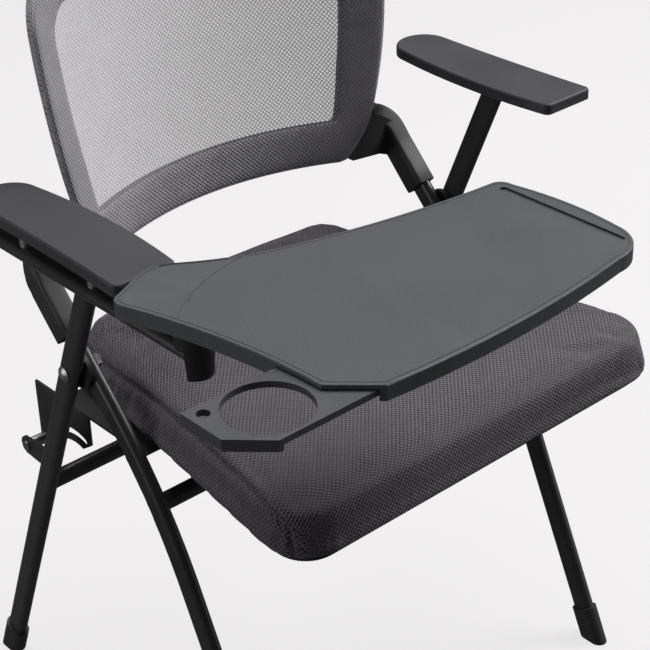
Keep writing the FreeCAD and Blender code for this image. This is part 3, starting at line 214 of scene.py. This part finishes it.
def knit(name, thread, hole_shade, hole_from, hole_to, rough=0.85, alphas=None, depth=0.0005,
         sheen=0.3, slant=0.5):
    """Spacer mesh: round holes in staggered rows between raised threads. A hole colour darker
    than the thread is painted shade inside the holes.
    """
    g = Graph(name)
    uv = g.add("ShaderNodeUVMap", uv_map="weave").outputs[0]
    part = g.add("ShaderNodeSeparateXYZ", {0: uv})
    turn = [g.math("MULTIPLY", part.outputs[i], 2 * math.pi / cell)
            for i, cell in ((0, CELL_U), (1, CELL_V))]
    ribs = g.math("MULTIPLY", g.math("COSINE", g.math("SUBTRACT", *turn)), slant)
    cross = g.math("MULTIPLY", g.math("COSINE", g.math("ADD", *turn)), 1.0 - slant)
    grid = g.math("ADD", ribs, cross)
    fuzz = g.noise(uv, 2600.0, 2.0)
    grid = g.math("ADD", grid, g.span(fuzz, 0.3, 0.7, -0.10, 0.10))
    open_ = g.step(grid, hole_from, hole_to)
    cloud = g.noise(g.place(), 24.0, 3.0, 0.6)
    yarn = g.mix(g.step(cloud, 0.3, 0.7), tuple(0.90 * v for v in thread),
                 tuple(1.08 * v for v in thread))
    yarn = g.mix(g.span(fuzz, 0.35, 0.65, 0.0, 0.5), yarn, tuple(0.6 * v for v in thread))
    tone = g.mix(open_, yarn, hole_shade)
    g.put(Base_Color=tone, Roughness=rough, Normal=g.bump(g.math("SUBTRACT", 1.0, grid), depth))
    g.bsdf.inputs["Sheen Weight"].default_value = sheen
    g.bsdf.inputs["Sheen Roughness"].default_value = 0.4
    if alphas:
        g.put(Alpha=g.span(open_, 0.0, 1.0, *alphas))
    return g.mat


# The dark hole colours of the seat, the border and the piping are painted shade inside the
# holes.
SEAT_KNIT = knit("seat_spacer_mesh", (0.098, 0.081, 0.105), (0.010, 0.008, 0.013), 0.12, 0.72,
                 rough=0.50, depth=0.0006, slant=0.62)
BAND_KNIT = knit("back_border_knit", (0.40, 0.385, 0.42), (0.150, 0.145, 0.165), 0.10, 0.90,
                 depth=0.0004)
# The open mesh's thread colour is its own light grey raised further: painted light that passes
# through the threads from behind.
MESH_KNIT = knit("back_open_mesh", (0.50, 0.485, 0.51), (0.50, 0.485, 0.51), 0.00, 0.45,
                 alphas=(0.78, 0.38), depth=0.0002)
TRIM = knit("back_piping_knit", (0.42, 0.41, 0.43), (0.22, 0.215, 0.23), 0.2, 0.9, depth=0.0002)


def sewing_thread():
    g = Graph("sewing_thread")
    twist = g.add("ShaderNodeTexWave", {"Vector": g.place(), "Scale": 900.0,
                                        "Distortion": 1.5}).outputs["Fac"]
    g.put(Base_Color=g.mix(twist, (0.006, 0.005, 0.007), (0.016, 0.014, 0.018)),
          Roughness=0.6, Normal=g.bump(twist, 0.0001))
    return g.mat


THREAD = sewing_thread()


# ------------------------------------------------------------------ mesh helpers
def hull(points):
    """Convex hull of 2-D points, anticlockwise."""
    pts = sorted(set((round(x, 6), round(y, 6)) for x, y in points))

    def half(seq):
        out = []
        for p in seq:
            while len(out) > 1 and ((out[-1][0] - out[-2][0]) * (p[1] - out[-2][1])
                                    - (out[-1][1] - out[-2][1]) * (p[0] - out[-2][0])) <= 0:
                out.pop()
            out.append(p)
        return out[:-1]
    return np.array(half(pts) + half(pts[::-1]))


def rays(outline, centre, angles):
    """Distance from the centre to a convex outline along each angle."""
    out = np.zeros(len(angles))
    a, b = outline - centre, np.roll(outline, -1, axis=0) - centre
    for k, t in enumerate(angles):
        d = np.array([math.cos(t), math.sin(t)])
        e = b - a
        den = d[0] * e[:, 1] - d[1] * e[:, 0]
        den[abs(den) < 1e-12] = 1e-12
        dist = (a[:, 0] * e[:, 1] - a[:, 1] * e[:, 0]) / den
        along = (a[:, 0] * d[1] - a[:, 1] * d[0]) / den
        ok = (dist > 0) & (along >= -1e-6) & (along <= 1 + 1e-6)
        out[k] = dist[ok].min()
    return out


def node_points(name, axes):
    """A CAD node's points, on two of the chair's axes."""
    co = np.array([v.co for v in NODES[name].data.vertices], float).reshape(-1, 3)
    return (co - np.array(SHIFT))[:, axes]


def spline(points, steps):
    """Points of a Catmull-Rom curve through the given ones, so many to each stretch."""
    p = np.array(points)
    p = np.vstack([2 * p[0] - p[1], p, 2 * p[-1] - p[-2]])
    fine = []
    for k in range(1, len(p) - 2):
        for t in np.linspace(0, 1, steps, endpoint=False):
            fine.append(0.5 * (2 * p[k] + (p[k + 1] - p[k - 1]) * t
                               + (2 * p[k - 1] - 5 * p[k] + 4 * p[k + 1] - p[k + 2]) * t ** 2
                               + (3 * p[k] - p[k - 1] - 3 * p[k + 1] + p[k + 2]) * t ** 3))
    return fine


def new_mesh(name, verts, faces, smooth=True):
    data = bpy.data.meshes.new(name)
    data.from_pydata([tuple(Vector(v) + SHIFT) for v in verts], [], faces)
    data.validate()
    data.polygons.foreach_set("use_smooth", [smooth] * len(data.polygons))
    obj = bpy.data.objects.new(name, data)
    bpy.context.scene.collection.objects.link(obj)
    return obj


def weave_uv(obj, rule):
    """rule(points of a face's corners, face centre, face normal) gives the corners' uv."""
    data = obj.data
    layer = data.uv_layers.get("weave") or data.uv_layers.new(name="weave")
    co = np.array([v.co for v in data.vertices], float) - np.array(SHIFT)
    uv = np.zeros((len(data.loops), 2), np.float32)
    for face in data.polygons:
        ids = list(face.vertices)
        uv[face.loop_start:face.loop_start + len(ids)] = rule(
            co[ids], np.array(face.center) - np.array(SHIFT), face.normal)
    layer.data.foreach_set("uv", uv.ravel())


def finish_piece(obj, material, body, slot, *nodes):
    obj.data.materials.clear()
    obj.data.materials.append(material)
    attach(obj, body)
    if nodes:
        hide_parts(*nodes)


# ------------------------------------------------------------------ seat cushion
SEAT_CENTRE = np.array([0.0, -0.080])
CREST_Z = 0.4555
SIDE_LEAN = ([-0.300, -0.222, 0.004, 0.129, 0.160], [0.0050, 0.0050, 0.0200, 0.0340, 0.0360])
FRONT_LEAN, REAR_LEAN = 0.0075, 0.0040
SEAT_WALL = [    # height and share of the wall's lean, then the inset beyond the crest
    (0.4056, 0.0, 0.0050), (0.4085, 0.0, 0.0022), (0.4150, 0.0, 0.0016), (0.4240, 0.12, 0.0016),
    (0.4340, 0.34, 0.0016), (0.4430, 0.62, 0.0016), (0.4490, 0.84, 0.0024),
    (0.4528, 1.0, 0.0050), (0.4550, 1.0, 0.0100), (0.4560, 1.0, 0.0180), (0.4565, 1.0, 0.034),
    (0.4570, 1.0, 0.060), (0.4574, 1.0, 0.095), (0.4576, 1.0, 0.130), (0.4577, 1.0, 0.165)]


def seat_start():
    """The cover before it is stuffed: walls lean in to the crest, more towards the rear."""
    outline = hull(node_points("seat_cushion", [0, 1]))
    n = 240
    angles = [2 * math.pi * k / n for k in range(n)]
    reach = rays(outline, SEAT_CENTRE, angles)
    way = np.array([[math.cos(t), math.sin(t)] for t in angles])
    base = SEAT_CENTRE + way * reach[:, None]
    edge = np.roll(base, -2, axis=0) - np.roll(base, 2, axis=0)
    square = np.stack([edge[:, 1], -edge[:, 0]], axis=1)
    square /= np.linalg.norm(square, axis=1)[:, None]
    lean = (square[:, 0] ** 2 * np.interp(base[:, 1], *SIDE_LEAN)
            + square[:, 1] ** 2 * np.where(square[:, 1] < 0, FRONT_LEAN, REAR_LEAN))
    verts, faces = [], []
    for z, share, more in SEAT_WALL:
        inset = lean * share + more
        for k in range(n):
            q = max(reach[k] - inset[k], 0.010)
            x, y = SEAT_CENTRE[0] + q * way[k, 0], SEAT_CENTRE[1] + q * way[k, 1]
            rear = min(1.0, max(0.0, (y - 0.02) / 0.11))
            crown = max(-1.5, 1.0 - (x / 0.155) ** 2)
            verts.append((x, y + 0.0060 * rear * crown,
                          z + 0.0042 * rear * max(crown, -0.3) * (z - 0.405) / 0.050))
    rings = len(SEAT_WALL)
    for k in range(rings - 1):
        for i in range(n):
            j = (i + 1) % n
            faces.append((k * n + i, k * n + j, (k + 1) * n + j, (k + 1) * n + i))
    faces.append(tuple((rings - 1) * n + i for i in range(n)))
    faces.append(tuple(range(n))[::-1])
    return new_mesh("seat_cover", verts, faces)


def remesh(obj, voxel):
    """Even small faces for the cloth, in place of the lofted ones."""
    mod = obj.modifiers.new("remesh", "REMESH")
    mod.mode = "VOXEL"
    mod.voxel_size = voxel
    mod.use_smooth_shade = True
    bake_modifiers(obj)


def bake_modifiers(obj):
    """Put the mesh that the modifiers give in the object's place."""
    dg = bpy.context.evaluated_depsgraph_get()
    data = bpy.data.meshes.new_from_object(obj.evaluated_get(dg), depsgraph=dg)
    obj.modifiers.clear()
    obj.data = data
    data.polygons.foreach_set("use_smooth", [True] * len(data.polygons))


CLOTH_FRAMES = 20


def puff(obj, pinned, pressure, cap):
    """Swell a closed form as cloth under pressure, with the pinned points held."""
    rest = np.array([v.co for v in obj.data.vertices], float)
    group = obj.vertex_groups.new(name="held")
    for i in np.nonzero(pinned(rest - np.array(SHIFT)))[0]:
        group.add([int(i)], 1.0, "REPLACE")
    mod = obj.modifiers.new("cloth", "CLOTH")
    s = mod.settings
    s.quality = 5
    s.mass = 0.3          # kilograms for each point
    s.use_pressure = True
    s.uniform_pressure_force = pressure
    s.tension_stiffness = s.compression_stiffness = 18.0
    s.bending_stiffness = 2.0
    s.effector_weights.gravity = 0.0
    s.vertex_group_mass = "held"
    mod.collision_settings.use_collision = False
    scene = bpy.context.scene
    for f in range(1, CLOTH_FRAMES + 1):
        scene.frame_set(f)
    dg = bpy.context.evaluated_depsgraph_get()
    got = np.array([v.co for v in obj.evaluated_get(dg).data.vertices], float)
    obj.modifiers.clear()
    obj.vertex_groups.clear()
    scene.frame_set(1)
    move = got - rest
    far = np.linalg.norm(move, axis=1)
    move *= np.minimum(1.0, cap / np.maximum(far, 1e-9))[:, None]
    obj.data.vertices.foreach_set("co", (rest + move).astype(np.float32).ravel())
    obj.data.update()


def subdivide(obj, levels):
    mod = obj.modifiers.new("smooth", "SUBSURF")
    mod.levels = mod.render_levels = levels
    bake_modifiers(obj)


# The cover's side panels are sewn to the top along this line, here on the sitter's right.
SEAM = [(-0.186, 0.150, 0.4320), (-0.1976, 0.0912, 0.4355), (-0.2027, 0.0568, 0.4380),
        (-0.2118, -0.0072, 0.4450), (-0.2234, -0.0743, 0.4495), (-0.2357, -0.1453, 0.4510),
        (-0.2480, -0.2209, 0.4520), (-0.2560, -0.2550, 0.4470), (-0.2610, -0.2830, 0.4370),
        (-0.2630, -0.2930, 0.4200), (-0.2620, -0.2950, 0.4070)]


def seam_at(side, above=0.0):
    """The seam's points on the sitter's right (side 1) or left (side -1)."""
    return [(side * x, y, z + above) for x, y, z in SEAM]


def smooth_line(points, step):
    """Evenly spaced points on the curve through the given ones."""
    fine = np.array(spline(points, 60))
    run = np.concatenate([[0], np.cumsum(np.linalg.norm(np.diff(fine, axis=0), axis=1))])
    at = np.arange(0, run[-1], step)
    return np.stack([np.interp(at, run, fine[:, i]) for i in range(3)], axis=1)


def on_surface(obj, points):
    """The nearest points of a mesh and its normals there, in the chair's axes."""
    tree = BVHTree.FromObject(obj, bpy.context.evaluated_depsgraph_get())
    place, face = [], []
    for p in points:
        spot, normal, _, _ = tree.find_nearest(Vector(p) + SHIFT)
        place.append(np.array(spot - SHIFT))
        face.append(np.array(normal))
    return np.array(place), np.array(face)


GROOVE_DEPTH, GROOVE_WIDTH = 0.0026, 0.0026
RISE, RISE_AT, RISE_WIDTH = 0.0007, 0.009, 0.006       # the roll on both sides of a seam
CREASE_AT, CREASE_WIDTH = 0.012, 0.014                 # below the seam
CREASE, REAR_CREASE = 0.0005, 0.0013


def sew(obj, lines):
    """Pull the cover in along its seams and let it swell and crease beside them."""
    co = np.array([v.co for v in obj.data.vertices], float) - np.array(SHIFT)
    nor = np.array([v.normal for v in obj.data.vertices], float)
    tree = KDTree(sum(len(line) for line in lines))
    spots = np.vstack(lines)
    for k, p in enumerate(spots):
        tree.insert(Vector(p), k)
    tree.balance()
    push = np.zeros(len(co))
    for k, p in enumerate(co):
        if abs(p[0]) < 0.12 or p[2] < 0.4065:
            continue
        _, index, d = tree.find(Vector(p))
        push[k] = -GROOVE_DEPTH * math.exp(-(d / GROOVE_WIDTH) ** 2) + RISE * math.exp(
            -((d - RISE_AT) / RISE_WIDTH) ** 2)
        y, below = p[1], max(0.0, spots[index][2] - p[2])
        if abs(p[0]) > 0.17 and below > 0.002 and y > -0.27:
            fade = math.exp(-((below - CREASE_AT) / CREASE_WIDTH) ** 2)
            pull = (0.5 * math.sin(y * 190.0 + 1.3) + 0.3 * math.sin(y * 331.0)
                    + 0.2 * math.sin(y * 83.0 + 0.4))
            rear = 1.0 / (1.0 + math.exp(-(y + 0.03) / 0.02))
            push[k] += (CREASE + REAR_CREASE * rear) * fade * pull
    co += nor * push[:, None]
    obj.data.vertices.foreach_set("co", (co + np.array(SHIFT)).astype(np.float32).ravel())
    obj.data.update()


def stitches(name, obj, lines, lengthwise, thick):
    """One short bead of thread for each stitch."""
    verts, faces = [], []
    for line in lines:
        spots, normals = on_surface(obj, line)
        ways = np.gradient(spots, axis=0)
        for p, n, w in list(zip(spots, normals, ways))[2:-2]:
            w = w / np.linalg.norm(w)
            side = np.cross(n, w)
            first = len(verts)
            for k, (a, r) in enumerate(((-1.0, 0.25), (-0.55, 0.9), (0.55, 0.9), (1.0, 0.25))):
                for m in range(6):
                    t = 2 * math.pi * m / 6
                    verts.append(p + n * (0.0001 + thick * r * math.sin(t))
                                 + side * thick * r * math.cos(t) + w * a * lengthwise / 2)
                    if k:
                        q = (m + 1) % 6
                        faces.append((first + (k - 1) * 6 + m, first + (k - 1) * 6 + q,
                                      first + k * 6 + q, first + k * 6 + m))
            faces.append(tuple(first + m for m in range(6))[::-1])
            faces.append(tuple(first + 18 + m for m in range(6)))
    return new_mesh(name, verts, faces)


VOXEL = 0.005
HELD_BELOW = 0.4095            # the cover is fixed to the pan below this height
PRESSURE, SWELL = 4.0, 0.0045  # stuffing's push, and the furthest that a point may move
SEAM_STEP = 0.0015
STITCH_PITCH, STITCH_LENGTH, STITCH_THICK = 0.0052, 0.0030, 0.00070
STITCH_ABOVE = 0.0030          # the row of stitches above the seam

seat = seat_start()
remesh(seat, VOXEL)
puff(seat, lambda p: p[:, 2] < HELD_BELOW, PRESSURE, SWELL)
subdivide(seat, 1)
sew(seat, [on_surface(seat, smooth_line(seam_at(side), SEAM_STEP))[0] for side in (1.0, -1.0)])


def seam_height(y):
    """Height of the side seam at y."""
    line = np.array(SEAM)[::-1]
    return np.interp(y, line[:, 1], line[:, 2])


def seat_uv(points, centre, normal):
    """The top panel runs over the front and rear; the side panels lie square to it."""
    if normal.z < -0.6:
        return points[:, :2]
    if abs(centre[0]) > 0.16 and centre[2] < seam_height(centre[1]) and abs(normal.x) > 0.55:
        return np.stack([points[:, 1], points[:, 2]], axis=1)
    drop = CREST_Z + 0.002 - points[:, 2]
    way = -1.0 if centre[1] < SEAT_CENTRE[1] else 1.0
    return np.stack([points[:, 0], points[:, 1] + way * np.maximum(drop, 0) * 0.9], axis=1)


weave_uv(seat, seat_uv)
finish_piece(seat, SEAT_KNIT, "seat", "seat_fabric", "seat_cushion")
rows = [smooth_line(seam_at(side, STITCH_ABOVE), STITCH_PITCH) for side in (1.0, -1.0)]
seam_thread = stitches("seat_stitches", seat, rows, STITCH_LENGTH, STITCH_THICK)
finish_piece(seam_thread, THREAD, "seat", "seat_fabric")

# ------------------------------------------------------------------ backrest fabric
PIPING_R = 0.0017
BACK_Y, BACK_R, RECLINE = 0.143, 0.340, math.radians(8.8)
BACK_LOW = 0.545
BACK_CENTRE = np.array([0.0, 0.700])


def back_y(x, z, offset=0.0):
    """y of the back's curved front at x and z, moved rearwards by the offset."""
    base_y = BACK_Y - BACK_R / math.cos(RECLINE)
    comp = math.sqrt(max((BACK_R + offset) ** 2 - x * x, 1e-9))
    return base_y + (comp + (z - BACK_LOW) * math.sin(RECLINE)) / math.cos(RECLINE)


def back_uv(points, _centre, _normal):
    """Along the curve and up the slope, so that the knit isn't stretched."""
    u = BACK_R * np.arcsin(np.clip(points[:, 0] / BACK_R, -1, 1))
    return np.stack([u, (points[:, 2] - BACK_LOW) / math.cos(RECLINE)], axis=1)


BACK_N = 240
back_angles = [2 * math.pi * k / BACK_N for k in range(BACK_N)]
outer = rays(hull(node_points("back_band", [0, 2])), BACK_CENTRE, back_angles)
inner = rays(hull(node_points("back_mesh", [0, 2])), BACK_CENTRE, back_angles)


def back_ring(radii, offset):
    """Points round the back at these distances from its centre, on its curve."""
    ring = []
    for t, r in zip(back_angles, radii):
        x, z = BACK_CENTRE[0] + r * math.cos(t), BACK_CENTRE[1] + r * math.sin(t)
        ring.append((x, back_y(x, z, offset), z))
    return ring


def loft(rings):
    """Points and faces of the surface through closed rings, open at both ends."""
    n = len(rings[0])
    verts = [p for ring in rings for p in ring]
    faces = []
    for k in range(len(rings) - 1):
        for i in range(n):
            j = (i + 1) % n
            faces.append((k * n + i, (k + 1) * n + i, (k + 1) * n + j, k * n + j))
    return verts, faces


def make_band():
    """Border of the cover, drawn over the frame's front and round its edge."""
    wide = outer - inner
    rings = []
    for share, off in ((0.0, 0.0006), (0.03, -0.0002), (0.25, -0.0006), (0.5, -0.0008),
                       (0.75, -0.0006), (0.93, 0.0), (0.985, 0.0012)):
        rings.append(back_ring(inner + wide * share, off))
    for off in (0.0035, 0.0075, 0.0105):
        rings.append(back_ring(outer, off))
    for share in (0.985, 0.94):
        rings.append(back_ring(inner + wide * share, 0.0118))
    verts, faces = loft(rings)
    obj = new_mesh("back_border", verts, faces)
    weave_uv(obj, back_uv)
    finish_piece(obj, BAND_KNIT, "front_frame", "band_fabric", "back_band")
    return obj


def make_mesh_panel():
    """The see-through middle of the cover, in rows across its outline."""
    line = hull(node_points("back_mesh", [0, 2]))
    low, high = line[:, 1].min(), line[:, 1].max()
    rows, across = 70, 80
    levels = [low + (high - low) * (0.5 - 0.5 * math.cos(math.pi * k / rows))
              for k in range(rows + 1)]
    levels[0] += 0.0002
    levels[-1] -= 0.0002
    verts, faces = [], []
    for z in levels:
        d = line[:, 1] - z
        cross = []
        for k in range(len(line)):
            m = (k + 1) % len(line)
            if (d[k] <= 0) != (d[m] <= 0):
                t = d[k] / (d[k] - d[m])
                cross.append(line[k, 0] + t * (line[m, 0] - line[k, 0]))
        half = max(abs(x) for x in cross) + 0.0015
        for i in range(across + 1):
            x = half * (2 * i / across - 1)
            verts.append((x, back_y(x, z, 0.0008), z))
    wide = across + 1
    for k in range(rows):
        for i in range(across):
            faces.append((k * wide + i, k * wide + i + 1, (k + 1) * wide + i + 1,
                          (k + 1) * wide + i))
    obj = new_mesh("back_panel", verts, faces)
    weave_uv(obj, back_uv)
    finish_piece(obj, MESH_KNIT, "front_frame", "mesh_fabric", "back_mesh")
    return obj


def bead(name, path, radius, sides=10):
    """A round bead along a closed path."""
    path = np.array(path)
    way = np.roll(path, -1, axis=0) - np.roll(path, 1, axis=0)
    way /= np.linalg.norm(way, axis=1)[:, None]
    verts, faces = [], []
    count = len(path)
    for p, w in zip(path, way):
        a = np.cross(w, (0, 1, 0))
        a /= np.linalg.norm(a)
        b = np.cross(w, a)
        for m in range(sides):
            t = 2 * math.pi * m / sides
            verts.append(p + radius * (a * math.cos(t) + b * math.sin(t)))
    for k in range(count):
        n = (k + 1) % count
        for m in range(sides):
            q = (m + 1) % sides
            faces.append((k * sides + m, k * sides + q, n * sides + q, n * sides + m))
    return new_mesh(name, verts, faces)


def make_piping():
    """Sewn edge between the border's front and its return round the frame."""
    obj = bead("back_piping", back_ring(outer + 0.0002, 0.0030), PIPING_R)
    weave_uv(obj, back_uv)
    finish_piece(obj, TRIM, "front_frame", "band_fabric")
    return obj


band = make_band()
panel = make_mesh_panel()
piping = make_piping()

# ------------------------------------------------------------------ sockets
# The tube's upper end and direction in the side frame's plane.
TUBE_END = np.array([0.0, 0.095899, 0.544238])
TUBE_WAY = np.array([0.0, 0.694658, 0.719340])
TUBE_UP = np.array([0.0, -0.719340, 0.694658])
STRAIGHT = 5        # so many of the sleeve's sections lie straight along the tube
BOXY = 0.30         # the section's power: 1 is an ellipse, 0 is a box


def make_sleeve(s, name):
    """Rounded sleeve of the back's plastic arm: over the tube's end, then in behind the back."""
    flat = []
    for along, wide, low, high in ((-0.0588, 0.0224, -0.0142, 0.0122),
                                   (-0.0590, 0.0244, -0.0158, 0.0136),
                                   (-0.0582, 0.0252, -0.0162, 0.0140),
                                   (-0.0400, 0.0252, -0.0162, 0.0141),
                                   (-0.0200, 0.0252, -0.0160, 0.0140),
                                   (-0.0040, 0.0252, -0.0158, 0.0138)):
        flat.append((TUBE_END + TUBE_WAY * along + TUBE_UP * (low + high) / 2
                     + np.array([0.248, 0, 0]), TUBE_WAY, wide, high - low))
    for place, way, wide, high in (
            ((0.2450, 0.1085, 0.5612), (-0.32, 0.63, 0.71), 0.0262, 0.0284),
            ((0.2330, 0.1165, 0.5732), (-0.78, 0.36, 0.50), 0.0284, 0.0262),
            ((0.2040, 0.1118, 0.5880), (-0.93, -0.25, 0.30), 0.0304, 0.0206)):
        flat.append((np.array(place), np.array(way) / np.linalg.norm(way), wide, high))
    keys = np.array([np.concatenate([p, w, [a, b]]) for p, w, a, b in flat])
    fine = list(keys[:STRAIGHT]) + spline(keys[STRAIGHT:], 8)
    n = 64
    verts, faces = [], []
    for q in fine:
        way = q[3:6] / np.linalg.norm(q[3:6])
        a = np.array([1.0, 0, 0])
        a -= way * a.dot(way)
        a /= np.linalg.norm(a)
        b = np.cross(way, a)
        for k in range(n):
            t = 2 * math.pi * k / n
            c, d = math.cos(t), math.sin(t)
            p = (q[:3] + a * q[6] / 2 * math.copysign(abs(c) ** BOXY, c)
                 + b * q[7] / 2 * math.copysign(abs(d) ** BOXY, d))
            verts.append((s * p[0], p[1], p[2]))
    for k in range(len(fine) - 1):
        for i in range(n):
            j = (i + 1) % n
            face = (k * n + i, k * n + j, (k + 1) * n + j, (k + 1) * n + i)
            faces.append(face if s > 0 else face[::-1])
    obj = new_mesh(name, verts, faces)
    finish_piece(obj, SOCKETS, "front_frame", "black_plastic")
    return obj


make_sleeve(1.0, "socket_sleeve_left")
make_sleeve(-1.0, "socket_sleeve_right")


# ------------------------------------------------------------------ CAD nodes' finishes
FINISH = {"black_powder_coat": POWDER, "black_plastic": BLACK, "tablet_plastic": TABLET,
          "foot_plastic": FEET, "zinc_steel": zinc(), "pan_wood": plywood()}
slot_of = {p["node"]: p["material_slot"] for p in frame["record"]["subparts"]}
OWN = {"cup_tray": TRAY, "back_socket_left": SOCKETS, "back_socket_right": SOCKETS,
       "arm_pad_left": PADS, "arm_pad_right": PADS}
for name, obj in NODES.items():
    finish = OWN.get(name) or FINISH.get(slot_of[name])
    if finish:
        obj.data.materials.clear()
        obj.data.materials.append(finish)


# ------------------------------------------------------------------ stage and light
FLOOR_HALF = 14.0
WALL_TURNS, WALL_REACH, WALL_HIGH = 64, 13.0, 15.0


def stage_floor():
    """Pale paper underfoot and a wall of it all round, lit by itself."""
    data = bpy.data.meshes.new("floor")
    s = FLOOR_HALF
    data.from_pydata([(-s, -s, 0), (s, -s, 0), (s, s, 0), (-s, s, 0)], [], [(0, 1, 2, 3)])
    floor = bpy.data.objects.new("floor", data)
    bpy.context.scene.collection.objects.link(floor)
    g = Graph("floor_paper")
    cloud = g.noise(g.place(), 1.6, 3.0, 0.5)
    g.put(Base_Color=g.mix(cloud, (0.115, 0.112, 0.113), (0.130, 0.127, 0.128)), Roughness=0.95)
    g.put(Emission_Color=(1.0, 0.985, 0.99, 1.0), Emission_Strength=0.76, Specular_IOR_Level=0.0)
    data.materials.append(g.mat)
    floor.location.z = -0.0003
    wall = bpy.data.meshes.new("backdrop")
    turns = WALL_TURNS
    ring = [(WALL_REACH * math.cos(2 * math.pi * k / turns),
             WALL_REACH * math.sin(2 * math.pi * k / turns)) for k in range(turns)]
    wall.from_pydata([(x, y, z) for z in (-0.01, WALL_HIGH) for x, y in ring], [],
                     [(k, (k + 1) % turns, turns + (k + 1) % turns, turns + k)
                      for k in range(turns)])
    backdrop = bpy.data.objects.new("backdrop", wall)
    bpy.context.scene.collection.objects.link(backdrop)
    wall.materials.append(g.mat)
    backdrop.visible_shadow = False
    for obj in (floor, backdrop):
        obj.visible_glossy = False
        obj.visible_diffuse = False


LIGHTS = [    # name, place, what it points at, size in metres, watts
    ("key", (2.3, -0.75, 2.5), (0, -0.1, 0.45), 1.6, 88.0),
    ("top", (0.5, 0.9, 3.4), (0, 0, 0.45), 2.2, 62.0),
    ("low", (2.5, -2.1, 0.35), (0, 0, 0.45), 1.2, 8.0),
    ("fill", (-2.8, 0.8, 1.0), (0, 0, 0.45), 1.8, 22.0)]
WORLD_STRENGTH = 0.07


def area(name, place, target, size, power):
    data = bpy.data.lights.new(name, "AREA")
    data.size = size
    data.energy = power
    lamp = bpy.data.objects.new(name, data)
    bpy.context.scene.collection.objects.link(lamp)
    lamp.location = Vector(place) + SHIFT
    lamp.rotation_euler = (Vector(target) - Vector(place)).to_track_quat("-Z", "Y").to_euler()


stage_floor()
world = bpy.data.worlds.new("world")
bpy.context.scene.world = world
world.use_nodes = True
sky = world.node_tree.nodes["Background"]
sky.inputs["Color"].default_value = (1.0, 1.0, 1.0, 1.0)
sky.inputs["Strength"].default_value = WORLD_STRENGTH
for light in LIGHTS:
    area(*light)
bpy.context.scene.view_settings.view_transform = "Standard"
